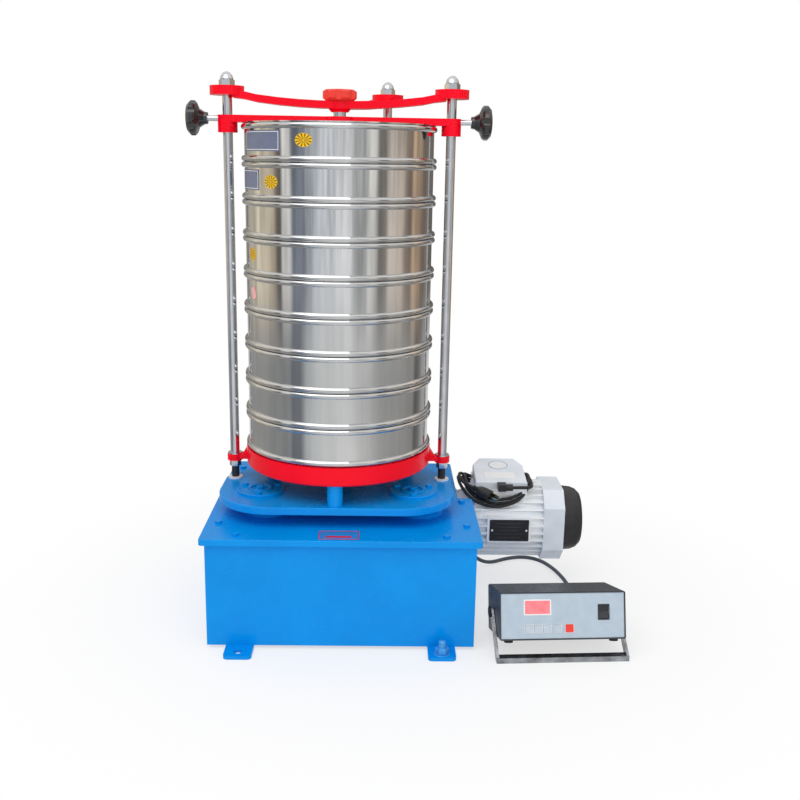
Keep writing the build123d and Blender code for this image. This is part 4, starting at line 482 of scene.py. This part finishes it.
class SHAKER_OT_stage(bpy.types.Operator):
    """Floor, lamps, surroundings and the photograph's camera"""

    bl_idname = "shaker.stage"
    bl_label = "Stage"

    def execute(self, context):
        settings = context.scene.shaker
        self.make_floor(settings)
        self.make_world(context, settings)
        self.make_lamps(context, settings)
        self.make_camera(context, settings)
        return {"FINISHED"}

    def make_floor(self, settings):
        """Large flat plane at the foot tabs' undersides, that fades into white away from the machine."""
        mesh = bpy.data.meshes.new("floor")
        corners = [(x * FLOOR_HALF, y * FLOOR_HALF, 0) for x, y in ((-1, -1), (1, -1), (1, 1), (-1, 1))]
        mesh.from_pydata(corners, [], [(0, 1, 2, 3)])
        material, tree, shader, place = new_material("pale_floor")
        fill(tree, shader, {
            "Base Color": (*settings.floor_colour, 1), "Roughness": 0.9, "Specular IOR Level": 0.1})
        away = add_node(tree, "ShaderNodeVectorMath", {"operation": "DISTANCE"}, {
            0: place, 1: (0.1, 0.0, 0.0)})
        fade = add_node(tree, "ShaderNodeMapRange", {"interpolation_type": "SMOOTHSTEP"}, {
            "Value": away.outputs["Value"],
            "From Min": 0.25, "From Max": 0.85, "To Min": 0.62, "To Max": 1.0})
        path = add_node(tree, "ShaderNodeLightPath")
        share = add_node(tree, "ShaderNodeMath", {"operation": "MULTIPLY"}, {
            0: fade.outputs[0], 1: path.outputs["Is Camera Ray"]})
        white = add_node(tree, "ShaderNodeEmission", inputs={"Color": (1, 1, 1, 1), "Strength": 1.0})
        seen = add_node(tree, "ShaderNodeMixShader", inputs={"Fac": share.outputs[0]})
        tree.links.new(shader.outputs[0], seen.inputs[1])
        tree.links.new(white.outputs[0], seen.inputs[2])
        output = next(n for n in tree.nodes if n.type == "OUTPUT_MATERIAL")
        tree.links.new(seen.outputs[0], output.inputs[0])
        mesh.materials.append(material)
        floor = bpy.data.objects.new("floor", mesh)
        floor.visible_glossy = False
        bpy.context.scene.collection.objects.link(floor)

    def make_world(self, context, settings):
        """Even white surroundings, with upright bands where polished metal mirrors them."""
        world = bpy.data.worlds.new("workshop")
        context.scene.world = world
        world.use_nodes = True
        tree = world.node_tree
        tree.nodes.clear()
        output = add_node(tree, "ShaderNodeOutputWorld")
        direction = add_node(tree, "ShaderNodeSeparateXYZ", inputs={
            "Vector": add_node(tree, "ShaderNodeTexCoord").outputs["Generated"]})
        front = add_node(tree, "ShaderNodeMath", {"operation": "MULTIPLY"}, {
            0: direction.outputs["Y"], 1: -1.0})
        bearing = add_node(tree, "ShaderNodeMath", {"operation": "ARCTAN2"}, {
            0: direction.outputs["X"], 1: front.outputs[0]})
        turn = add_node(tree, "ShaderNodeMapRange", inputs={
            "Value": bearing.outputs[0],
            "From Min": -pi, "From Max": pi, "To Min": 0.0, "To Max": 1.0}).outputs[0]
        level, ground = self.bands(tree, turn, WORKSHOP), self.bands(tree, turn, WORKSHOP_FLOOR)
        down = add_node(tree, "ShaderNodeMapRange", {"interpolation_type": "SMOOTHSTEP"}, {
            "Value": direction.outputs["Z"],
            "From Min": -0.1, "From Max": -0.21, "To Min": 0.0, "To Max": 1.0})
        around = add_node(tree, "ShaderNodeMix", {"data_type": "RGBA"}, {
            "Factor": down.outputs[0], "A": level, "B": ground})
        flat = add_node(tree, "ShaderNodeMath", {"operation": "MULTIPLY"}, {
            0: direction.outputs["Z"], 1: 0.12})
        line = add_node(tree, "ShaderNodeCombineXYZ", inputs={"X": turn, "Y": flat.outputs[0]})
        clutter = add_node(tree, "ShaderNodeTexNoise", inputs={
            "Vector": line.outputs[0], "Scale": 30.0, "Detail": 4.0, "Roughness": 0.65})
        shade = add_node(tree, "ShaderNodeMapRange", inputs={
            "Value": clutter.outputs[0], "From Min": 0.42, "From Max": 0.58, "To Min": -0.3, "To Max": 0.14})
        fading = add_node(tree, "ShaderNodeMapRange", inputs={
            "Value": direction.outputs["Z"],
            "From Min": -0.2, "From Max": -0.08, "To Min": 0.22, "To Max": 1.0})
        amount = add_node(tree, "ShaderNodeMath", {"operation": "MULTIPLY_ADD"}, {
            0: shade.outputs[0], 1: fading.outputs[0], 2: 1.0})
        streaked = add_node(tree, "ShaderNodeVectorMath", {"operation": "SCALE"}, {
            0: around.outputs["Result"], "Scale": amount.outputs[0]})
        height = add_node(tree, "ShaderNodeMapRange", inputs={
            "Value": direction.outputs["Z"], "From Min": 0.18, "From Max": 0.6, "To Min": 0.0, "To Max": 1.0})
        ceiling = add_node(tree, "ShaderNodeMix", {"data_type": "RGBA"}, {
            "Factor": height.outputs[0], "A": streaked.outputs[0], "B": linear("#f2f2f2")})
        mirrored, even, backdrop = (
            add_node(tree, "ShaderNodeBackground", inputs={"Color": colour, "Strength": strength})
            for colour, strength in ((ceiling.outputs["Result"], 1.0), ((1, 1, 1, 1), settings.daylight),
                                     ((1, 1, 1, 1), 1.0)))
        path = add_node(tree, "ShaderNodeLightPath")
        lit = add_node(tree, "ShaderNodeMixShader", inputs={"Fac": path.outputs["Is Glossy Ray"]})
        tree.links.new(even.outputs[0], lit.inputs[1])
        tree.links.new(mirrored.outputs[0], lit.inputs[2])
        seen = add_node(tree, "ShaderNodeMixShader", inputs={"Fac": path.outputs["Is Camera Ray"]})
        tree.links.new(lit.outputs[0], seen.inputs[1])
        tree.links.new(backdrop.outputs[0], seen.inputs[2])
        tree.links.new(seen.outputs[0], output.inputs[0])

    def bands(self, tree, turn, things):
        """Colour by bearing: each thing's colour fades into the next one's."""
        ramp = add_node(tree, "ShaderNodeValToRGB", inputs={"Fac": turn})
        stops = ramp.color_ramp.elements
        while len(stops) > 1:
            stops.remove(stops[-1])
        stops[0].position = 0.0
        stops[0].color = linear(things[0][1])
        for bearing, colour in things[1:]:
            stops.new((bearing + 180) / 360).color = linear(colour)
        return ramp.outputs[0]

    def make_lamps(self, context, settings):
        """One large soft lamp over the front and a weaker one beside the camera."""
        for name, place, turn, size, power in (
                ("key_lamp", (-0.6, -1.3, 2.6), (28, -14, 0), 2.2, settings.key_power),
                ("fill_lamp", (1.4, -2.6, 1.2), (74, 0, 26), 1.6, settings.fill_power)):
            lamp = bpy.data.lights.new(name, "AREA")
            lamp.shape = "SQUARE"
            lamp.size = size
            lamp.energy = power
            holder = bpy.data.objects.new(name, lamp)
            holder.location = place
            holder.rotation_euler = [radians(a) for a in turn]
            holder.visible_glossy = name == "key_lamp"
            context.scene.collection.objects.link(holder)

    def make_camera(self, context, settings):
        """Camera at the place, angle and lens that were fitted to the photograph."""
        lens = bpy.data.cameras.new("photo_camera")
        lens.lens = settings.camera_lens
        lens.sensor_width = 36.0
        lens.clip_end = 100.0
        holder = bpy.data.objects.new("photo_camera", lens)
        right, up, forward = camera_axes()
        matrix = np.eye(4)
        matrix[:3, 0] = right
        matrix[:3, 1] = up
        matrix[:3, 2] = -forward
        matrix[:3, 3] = CAMERA_PLACE * MM
        holder.matrix_world = Matrix(matrix.tolist())
        context.scene.collection.objects.link(holder)
        context.scene.camera = holder
        context.scene.view_settings.view_transform = "Standard"


class SHAKER_OT_finishes(bpy.types.Operator):
    """Gives every carried-over part its finish"""

    bl_idname = "shaker.finishes"
    bl_label = "Finishes"

    def execute(self, context):
        for finish, names in NODE_FINISHES.items():
            for name in names:
                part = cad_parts[name]
                material = finish_named(finish)
                part.data.materials.clear()
                part.data.materials.append(material)
        return {"FINISHED"}


# Control cable: its route is the same as in the part's source, in millimetres

CABLE_ROUTE = [
    (206.8, 138.0, 30.0), (224.0, 138.0, 30.0), (241.0, 139.0, 22.0), (257.0, 142.0, 10.0),
    (277.0, 150.0, 4.2), (308.0, 172.0, 4.0), (343.0, 182.0, 4.0), (373.0, 166.0, 4.0), (392.0, 128.0, 4.0),
    (404.0, 80.0, 4.0), (409.0, 28.0, 4.0), (406.0, -20.0, 4.0), (401.0, -50.0, 5.0),
]
CABLE_REAR = [(402.7, -84.9, 16.7), (401.8, -100.2, 21.3)]


def cord_curve(name, route, diameter_mm, finish):
    """Smooth round cord whose line follows the route's points as the control points of one curve."""
    curve = bpy.data.curves.new(name, "CURVE")
    curve.dimensions = "3D"
    curve.bevel_depth = diameter_mm / 2 * MM
    curve.bevel_resolution = 5
    curve.resolution_u = 8
    curve.use_fill_caps = True
    line = curve.splines.new("NURBS")
    line.points.add(len(route) - 1)
    for point, (x, y, z) in zip(line.points, route):
        point.co = (x * MM, y * MM, z * MM, 1.0)
    line.order_u = 3
    line.use_endpoint_u = True
    curve.materials.append(finish_named(finish))
    piece = bpy.data.objects.new(name, curve)
    bpy.context.scene.collection.objects.link(piece)
    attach(piece, "base")
    return piece


class SHAKER_OT_control_cable(bpy.types.Operator):
    """Grey cable from the base box along the floor to the control box"""

    bl_idname = "shaker.control_cable"
    bl_label = "Control cable"

    def execute(self, context):
        route = CABLE_ROUTE + CABLE_REAR
        piece = cord_curve("control_cable_line", route, 7.0, "grey_pvc_sheath")
        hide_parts("control_cable")
        return {"FINISHED"}


# Mains lead: out of the elbow gland, round the terminal box on the motor's barrel, and up to the plug

LEAD_OUT = [(294.0, 24.0, 199.5), (311.0, 24.0, 199.5), (324.5, 32.3, 197.0), (332.0, 46.7, 195.0)]
LEAD_IN = [
    (202.0, 70.0, 207.5), (202.3, 57.0, 206.5), (205.6, 45.5, 203.5), (213.7, 35.4, 200.6),
    (223.8, 29.6, 197.5),
]
LEAD_DIAMETER = 5.6
LEAD_TURNS = 3.5
MOTOR_AXIS = (87.0, 122.0)
COIL_MIDDLE = (267.0, 86.3)
COIL_START = -16.0
COIL_END = 360.0 * LEAD_TURNS - 14.0

# Where the turns lie at each half turn: how far out of the tightest loop, from 0 to 1, and the radius of the
# shell round the barrel that carries them
COIL_HALF_TURNS = np.arange(8) / 2
COIL_REACH = (1.0, 0.25, 0.35, 1.0, 0.75, 0.1, 0.6, 0.75)
COIL_SHELL = (75.5, 74.2, 73.9, 74.6, 79.8, 79.2, 80.4, 80.6)

# Half sizes of the loop to the left, to the right, and to the front and back: at its tightest, and what full
# reach adds
LOOP_LEFT, LOOP_RIGHT, LOOP_DEEP = (52.0, 14.0), (60.8, 4.8), (55.6, 9.0)
LOOP_POWER = 3.0


def lead_coil():
    """Points of the turns: at angle u they follow a squarish loop |x/a|^n + |y/b|^n = 1 seen from above,
    whose half sizes drift between an inner and an outer loop, at the height of a shell round the barrel."""
    count = int(14 * LEAD_TURNS)
    share = (np.arange(count) + 0.5) / count
    u = np.radians(COIL_START + share * (COIL_END - COIL_START))
    out = np.interp(u / (2 * pi), COIL_HALF_TURNS, COIL_REACH)
    shell = np.interp(u / (2 * pi), COIL_HALF_TURNS, COIL_SHELL)
    radius = (np.abs(np.cos(u)) ** LOOP_POWER + np.abs(np.sin(u)) ** LOOP_POWER) ** (-1 / LOOP_POWER)
    wobble = 0.9 * np.sin(2.3 * u + 0.7)
    left, right, deep = (least + more * out for least, more in (LOOP_LEFT, LOOP_RIGHT, LOOP_DEEP))
    half_x = np.where(np.cos(u) < 0, left, right) + wobble * 0.5
    x = COIL_MIDDLE[0] + half_x * radius * np.cos(u)
    y = COIL_MIDDLE[1] + (deep + wobble) * radius * np.sin(u)
    z = MOTOR_AXIS[1] + np.sqrt(np.maximum(shell ** 2 - (y - MOTOR_AXIS[0]) ** 2, 0.0))
    return list(zip(x.tolist(), y.tolist(), z.tolist()))


# The plug's frame: its middle, its long axis towards the pins, and the side that its width runs along

PLUG_MIDDLE = np.array([243.0, 18.5, 191.5])
PLUG_ALONG = np.array([0.8365, -0.4830, -0.2588])
PLUG_ACROSS = np.array([0.5, 0.8660, 0.0])
PLUG_UP = np.cross(PLUG_ALONG, PLUG_ACROSS)

# Sections of the plug's grip and of one blade along that axis, each as width, height, corner and place
PLUG_GRIP = [
    (7.4, 7.4, 3.6, -23), (8.6, 8.4, 4.0, -13.4), (15, 11, 4.5, -12.8), (20, 13, 4.8, -9),
    (21.5, 13.6, 5, -2), (21.8, 13.8, 5, 6), (21.4, 13.6, 4.8, 12), (20.2, 12.6, 4.2, 13),
]
PLUG_BLADE = [(1.7, 5.8, 0.8, 11.0), (1.7, 5.8, 0.8, 27.6), (1.0, 4.6, 0.45, 28.6)]
BLADE_PLACES = ((-6.5, -2.0), (6.5, -2.0), (0.0, 4.0))

# Ribs of the plug's sleeve: the sleeve's width there and the place of the rib's near edge
SLEEVE_RIBS = ((7.5, -21.6), (7.8, -18.8), (8.1, -16))


def rounded_bar(stations, steps=5):
    """Closed bar along z: a rounded rectangle of each station's width, height, corner and place."""
    return capped([np.column_stack([rounded_outline(w, h, c, steps), np.full(4 * steps, z)])
                   for w, h, c, z in stations])


class SHAKER_OT_mains_lead(bpy.types.Operator):
    """Black mains lead coiled round the terminal box, with its plug"""

    bl_idname = "shaker.mains_lead"
    bl_label = "Mains lead"

    def execute(self, context):
        ribs = [rounded_bar([(d, d, d * 0.48, z), (d + 0.9, d + 0.9, d * 0.5, z + 0.5),
                             (d + 0.9, d + 0.9, d * 0.5, z + 1.1), (d, d, d * 0.48, z + 1.6)])
                for d, z in SLEEVE_RIBS]
        points, faces = joined(rounded_bar(PLUG_GRIP), *ribs)
        body = put_mesh("mains_plug_body", placed(points, PLUG_MIDDLE, PLUG_ACROSS, PLUG_UP), faces,
                        "black_rubber", "base")
        blade, sides = rounded_bar(PLUG_BLADE, 4)
        points, faces = joined(*[(blade + [x, y, 0.0], sides) for x, y in BLADE_PLACES])
        pins = put_mesh("mains_plug_pins", placed(points, PLUG_MIDDLE, PLUG_ACROSS, PLUG_UP), faces,
                        "brass_pins", "base")
        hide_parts("mains_plug")
        route = LEAD_OUT + lead_coil() + LEAD_IN
        lead = cord_curve("mains_lead_line", route, LEAD_DIAMETER, "black_rubber")
        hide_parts("mains_lead", "mains_lead_coil")
        return {"FINISHED"}


# The eccentrics turn about x = -127 and 127, and at rest their throw holds the plate and stack to the left

THROW = 12.5
CRANK_REACH = 127.0
CRANK_Y = -68.0
STACK = (-THROW, 0.0)
WALL_RADIUS = 151.0

# Labels on the sieves, each at an angle round the stack and a height

SIEVE_LABELS = (("top_sieve_label", 218.5, 784.0), ("second_sieve_label", 200.3, 726.0))
LABEL_WIDTH, LABEL_HEIGHT = 96.0, 31.0
BORDER_WIDTH, BORDER_HEIGHT, BORDER_LINE = 90.0, 26.0, 0.9
PRINT_THICK = 0.12
ROUND_STICKERS = ((252.0, 785.0), (229.5, 724.0), (208.5, 612.0))
STICKER_WIDTH, STICKER_HEIGHT = 27.0, 20.0
SPOKES = 12
TAG_PLACE = (209.5, 551.0)


def flat_film(width, height, thick, base=0.0):
    """A label's slab, cut finely enough to bend round a sieve, its back at z = base."""
    columns = 26
    x = np.linspace(-width / 2, width / 2, columns)
    half = np.full(columns, height / 2)
    loop = np.concatenate([np.column_stack([x, -half]), np.column_stack([x[::-1], half])])
    points = np.concatenate([np.column_stack([loop, np.full(len(loop), z)]) for z in (base, base + thick)])
    count = 2 * columns
    here = np.arange(count)
    after = (here + 1) % count
    sides = np.column_stack([here, after, count + after, count + here])
    i = np.arange(columns - 1)
    back = np.column_stack([i + 1, i, count - 1 - i, count - 2 - i])
    face = np.column_stack([i, i + 1, count - 2 - i, count - 1 - i]) + count
    return points, sides.tolist() + back.tolist() + face.tolist()


def oval(wide, high, thick):
    """Flat oval film: the outline (a cos u, b sin u) from z = 0 to thick."""
    ring = circle(0.5, 40) * [wide, high]
    return capped([np.column_stack([ring * share, np.full(len(ring), z)])
                   for share, z in ((0.5, 0), (1, 0), (1, thick), (0.5, thick))])


def spoke(turn, base):
    """One printed ray of a round sticker: a wedge from near its middle to its edge, squeezed with it."""
    along = np.array([cos(turn), sin(turn)])
    side = np.array([-sin(turn), cos(turn)])
    ends = np.array([along * 1.5 - side * 0.2, along * 11.6 - side * 1.25,
                     along * 11.6 + side * 1.25, along * 1.5 + side * 0.2]) * [1.12, 0.82]
    return capped([np.column_stack([ends, np.full(4, z)]) for z in (base, base + 0.1)])


class SHAKER_OT_sieve_labels(bpy.types.Operator):
    """Blank labels, round stickers and the tag on the upper sieves"""

    bl_idname = "shaker.sieve_labels"
    bl_label = "Sieve labels"

    def stick(self, name, parts, finish, angle, z):
        points, faces = joined(*parts)
        put_mesh(name, wrapped(points, WALL_RADIUS + 0.05, STACK, angle, z), faces, finish,
                 "carrier", smooth=False)

    def execute(self, context):
        thick = context.scene.shaker.label_thick
        wide, high = BORDER_WIDTH / 2, BORDER_HEIGHT / 2
        across = flat_film(BORDER_WIDTH, BORDER_LINE, PRINT_THICK, thick)
        upright = flat_film(BORDER_LINE, BORDER_HEIGHT + 1, PRINT_THICK, thick)
        border = [(points + shift, faces) for (points, faces), shift in (
            (across, [0, high, 0]), (across, [0, -high, 0]),
            (upright, [-wide, 0, 0]), (upright, [wide, 0, 0]))]
        for name, angle, z in SIEVE_LABELS:
            self.stick(name, [flat_film(LABEL_WIDTH, LABEL_HEIGHT, thick)], "slate_label_film", angle, z)
            self.stick(name + "_border", border, "white_label_film", angle, z)
        spokes = [spoke(radians(15 + 360 / SPOKES * i), thick) for i in range(SPOKES)]
        for number, (angle, z) in enumerate(ROUND_STICKERS, 1):
            self.stick("round_sticker_%d" % number, [oval(STICKER_WIDTH, STICKER_HEIGHT, thick)],
                       "yellow_label_film", angle, z)
            self.stick("round_sticker_spokes_%d" % number, spokes, "ochre_label_print", angle, z)
        points, faces = slab(15, 19, thick * 2, 1.5)
        turn = radians(20)
        points = points @ np.array([[cos(turn), sin(turn), 0], [-sin(turn), cos(turn), 0], [0, 0, 1]])
        self.stick("pink_tag", [(points, faces)], "pink_tag_film", *TAG_PLACE)
        return {"FINISHED"}


# Places of the motor's labels: the nameplate on the barrel's front, and the terminal box lid, which rises
# from its front edge to its back edge

NAMEPLATE_PLACE = ((289.8, 16.45, 122.0), (1, 0, 0), (0, 0, 1))
LID_FRONT_Y = 37.0
LID_FRONT_Z = 205.55
LID_SLOPE = np.array([0.0, 100.0, 14.0])


def lid_place(x, share):
    """Frame of a label on the lid: its middle at x, at the given share of the way back, and its two axes."""
    return np.array([x, LID_FRONT_Y, LID_FRONT_Z]) + LID_SLOPE * share, (1, 0, 0), LID_SLOPE


class SHAKER_OT_motor_labels(bpy.types.Operator):
    """Blank black nameplate on the barrel, and the round and square labels on the terminal box lid"""

    bl_idname = "shaker.motor_labels"
    bl_label = "Motor labels"

    def execute(self, context):
        points, faces = slab(70, 40, 0.9, 1.2)
        put_mesh("nameplate", placed(points, *NAMEPLATE_PLACE), faces,
                 "engraved_black_plate", "base", smooth=False)
        rows = []
        for i in range(5):
            line, sides = slab(46 - 6 * (i % 3), 1.5, 0.12, 0.4)
            rows.append((line + [0, 13 - 6.5 * i, 0.9], sides))
        points, faces = joined(*rows)
        put_mesh("nameplate_bars", placed(points, *NAMEPLATE_PLACE), faces,
                 "nameplate_relief", "base", smooth=False)
        rivet, sides = lathe([(1.9, 0.7), (1.9, 1.1), (1.5, 1.7), (0.7, 2.0)], 20)
        points, faces = joined(*[(rivet + [x, 0, 0], sides) for x in (-30.5, 30.5)])
        put_mesh("nameplate_rivets", placed(points, *NAMEPLATE_PLACE), faces,
                 "white_label_film", "base")
        round_place = lid_place(276.0, 0.69)
        for name, (points, faces), place, finish in (
                ("lid_label", slab(54, 24, 0.4, 1.5), lid_place(274.5, 0.27), "white_label_film"),
                ("lid_round_label", oval(37, 37, 0.4), round_place, "white_label_film"),
                ("lid_ring", closed_ring(circle(17.6, 64), circle(16.4, 64), 0.35, 0.5), round_place,
                 "blue_label_print")):
            put_mesh(name, placed(points, *place), faces, finish, "base", smooth=False)
        return {"FINISHED"}


# Middle of the deck's label, and its two axes

DECK_LABEL_PLACE = ((-4.1, -180.0, 186.62), (1, 0, 0), (0, 1, 0))


class SHAKER_OT_deck_sign(bpy.types.Operator):
    """Red-framed label with a plain bar and no words, on the front of the deck"""

    bl_idname = "shaker.deck_sign"
    bl_label = "Deck label"

    def execute(self, context):
        bar, sides = slab(40, 7, 0.12, 1.0)
        for name, (points, faces), finish in (
                ("deck_label_frame", frame_strip(63, 36, 1.6, 0.35, 3.0), "red_sign_print"),
                ("deck_label_bar", (bar + [0, -7.5, 0.2], sides), "red_sign_print"),
                ("deck_label_film", slab(58, 31, 0.25, 2.0), "faded_sign_film")):
            put_mesh(name, placed(points, *DECK_LABEL_PLACE), faces, finish, "base",
                     smooth=False)
        return {"FINISHED"}


# Top of the swinging plate, where the eccentrics' discs end, and the profiles of a cap and its screw head on it,
# as radius and rise

PLATE_TOP = 221.0
CAP_PROFILE = [(19.6, 0.05), (19.8, 0.5), (19.8, 5.0), (19.3, 5.5), (16.6, 5.5), (16.0, 5.0), (15.4, 3.0),
               (9.0, 2.6), (8.2, 3.0), (8.0, 4.2), (7.4, 4.6)]
CAP_SCREW_PROFILE = [(5.6, 4.6), (6.4, 5.0), (6.4, 8.0), (5.6, 8.6)]


class SHAKER_OT_bearing_caps(bpy.types.Operator):
    """Dished end caps with a hexagon screw on the two eccentrics, inside the bearing covers"""

    bl_idname = "shaker.bearing_caps"
    bl_label = "Bearing caps"

    def execute(self, context):
        points, faces = joined(lathe(CAP_PROFILE, 64), lathe(CAP_SCREW_PROFILE, 6))
        for side, x in (("left", -CRANK_REACH - THROW), ("right", CRANK_REACH - THROW)):
            put_mesh(side + "_bearing_cap", points + [x, CRANK_Y, PLATE_TOP], faces, "stoved_blue_enamel",
                     side + "_crank", smooth=False)
        return {"FINISHED"}


# Origin of the anchor bolt, in the front right foot's hole 2 mm below the tab's top, and its two axes

ANCHOR_PLACE = ((160.0, -218.0, 4.0), (1, 0, 0), (0, 1, 0))


class SHAKER_OT_anchor_bolt(bpy.types.Operator):
    """Anchor bolt with washer and nut in the front right foot"""

    bl_idname = "shaker.anchor_bolt"
    bl_label = "Anchor bolt"

    def execute(self, context):
        washer = lathe([(6.2, 0.05), (12.6, 0.05), (12.8, 0.5), (12.8, 2.0), (12.4, 2.5), (6.2, 2.5)], 40)
        nut = lathe([(9.2, 2.5), (10.9, 2.8), (10.9, 11.6), (9.4, 12.4), (5.6, 12.4)], 6)
        turns = []
        for i in range(9):
            z = -3.8 + 3.0 * i
            turns += [(5.2, z), (5.8, z + 0.8), (5.8, z + 1.6), (5.2, z + 2.4)]
        stud = lathe(turns + [(4.6, 23.6)], 28)
        for name, (points, faces), smooth in (("anchor_washer", washer, False), ("anchor_nut", nut, False),
                                              ("anchor_stud", stud, True)):
            put_mesh(name, placed(points, *ANCHOR_PLACE), faces,
                     "blue_splashed_zinc", "base", smooth)
        return {"FINISHED"}


# The control box's own frame: turned 3.2 degrees, lifted at its front edge and tilted back by 17 degrees

CASE_TURN, CASE_TILT = radians(3.2), radians(-17.0)
CASE_RIGHT = np.array([cos(CASE_TURN), sin(CASE_TURN), 0.0])
CASE_BACK = np.array([-sin(CASE_TURN) * cos(CASE_TILT), cos(CASE_TURN) * cos(CASE_TILT), sin(CASE_TILT)])
CASE_UP = np.cross(CASE_RIGHT, CASE_BACK)
CASE_ORIGIN = np.array([349.0, -226.0, 34.60])
PANEL_FACE = 1.0
PANEL_MIDDLE = 37.2
KEY_PLACES = (-54.0, -39.6, -25.2, -8.6, 10.4)
KEY_ROW = -19.6


def case_point(x, y, z):
    """Place in the shared frame of a point given in the control box's frame."""
    return CASE_ORIGIN + x * CASE_RIGHT + y * CASE_BACK + z * CASE_UP


class SHAKER_OT_panel_marks(bpy.types.Operator):
    """Printed frames round the display, the keys and the switch"""

    bl_idname = "shaker.panel_marks"
    bl_label = "Panel marks"

    def mark(self, name, piece, x, z, finish):
        points, faces = piece
        points = placed(points, case_point(x, PANEL_FACE, PANEL_MIDDLE + z), CASE_RIGHT, CASE_UP)
        put_mesh(name, points, faces, finish, "base", smooth=False)

    def execute(self, context):
        self.mark("display_frame", frame_strip(43.5, 24.5, 2.0, 0.5, 1.5), -40.2, 13.6, "white_label_film")
        for number, x in enumerate(KEY_PLACES, 1):
            self.mark("key_frame_%d" % number, frame_strip(14.2, 14.2, 0.8, 0.25, 1.8), x, KEY_ROW,
                      "white_label_film")
        self.mark("rocker_frame", frame_strip(18.5, 24.5, 1.5, 0.8, 1.0), 65.0, 5.0, "black_phenolic_knob")
        return {"FINISHED"}


PANEL_CLASSES = (
    SHAKER_OT_stage,
    SHAKER_OT_finishes,
    SHAKER_OT_control_cable,
    SHAKER_OT_mains_lead,
    SHAKER_OT_sieve_labels,
    SHAKER_OT_motor_labels,
    SHAKER_OT_deck_sign,
    SHAKER_OT_bearing_caps,
    SHAKER_OT_anchor_bolt,
    SHAKER_OT_panel_marks,
)


class SHAKER_PT_panel(bpy.types.Panel):
    """Lists the makers of this part"""

    bl_label = "Sieve shaker"
    bl_idname = "SHAKER_PT_panel"
    bl_space_type = "VIEW_3D"
    bl_region_type = "UI"
    bl_category = "Sieve shaker"

    def draw(self, context):
        for operator in PANEL_CLASSES:
            self.layout.operator(operator.bl_idname)
        for name in ShakerSettings.__annotations__:
            self.layout.prop(context.scene.shaker, name)


def register():
    bpy.utils.register_class(ShakerSettings)
    for operator in PANEL_CLASSES:
        bpy.utils.register_class(operator)
    bpy.utils.register_class(SHAKER_PT_panel)
    bpy.types.Scene.shaker = bpy.props.PointerProperty(type=ShakerSettings)


def unregister():
    del bpy.types.Scene.shaker
    bpy.utils.unregister_class(SHAKER_PT_panel)
    for operator in reversed(PANEL_CLASSES):
        bpy.utils.unregister_class(operator)
    bpy.utils.unregister_class(ShakerSettings)


def main():
    register()
    bpy.ops.shaker.stage()
    bpy.ops.shaker.finishes()
    bpy.ops.shaker.control_cable()
    bpy.ops.shaker.mains_lead()
    bpy.ops.shaker.sieve_labels()
    bpy.ops.shaker.motor_labels()
    bpy.ops.shaker.deck_sign()
    bpy.ops.shaker.bearing_caps()
    bpy.ops.shaker.anchor_bolt()
    bpy.ops.shaker.panel_marks()


if __name__ == "__main__":
    main()
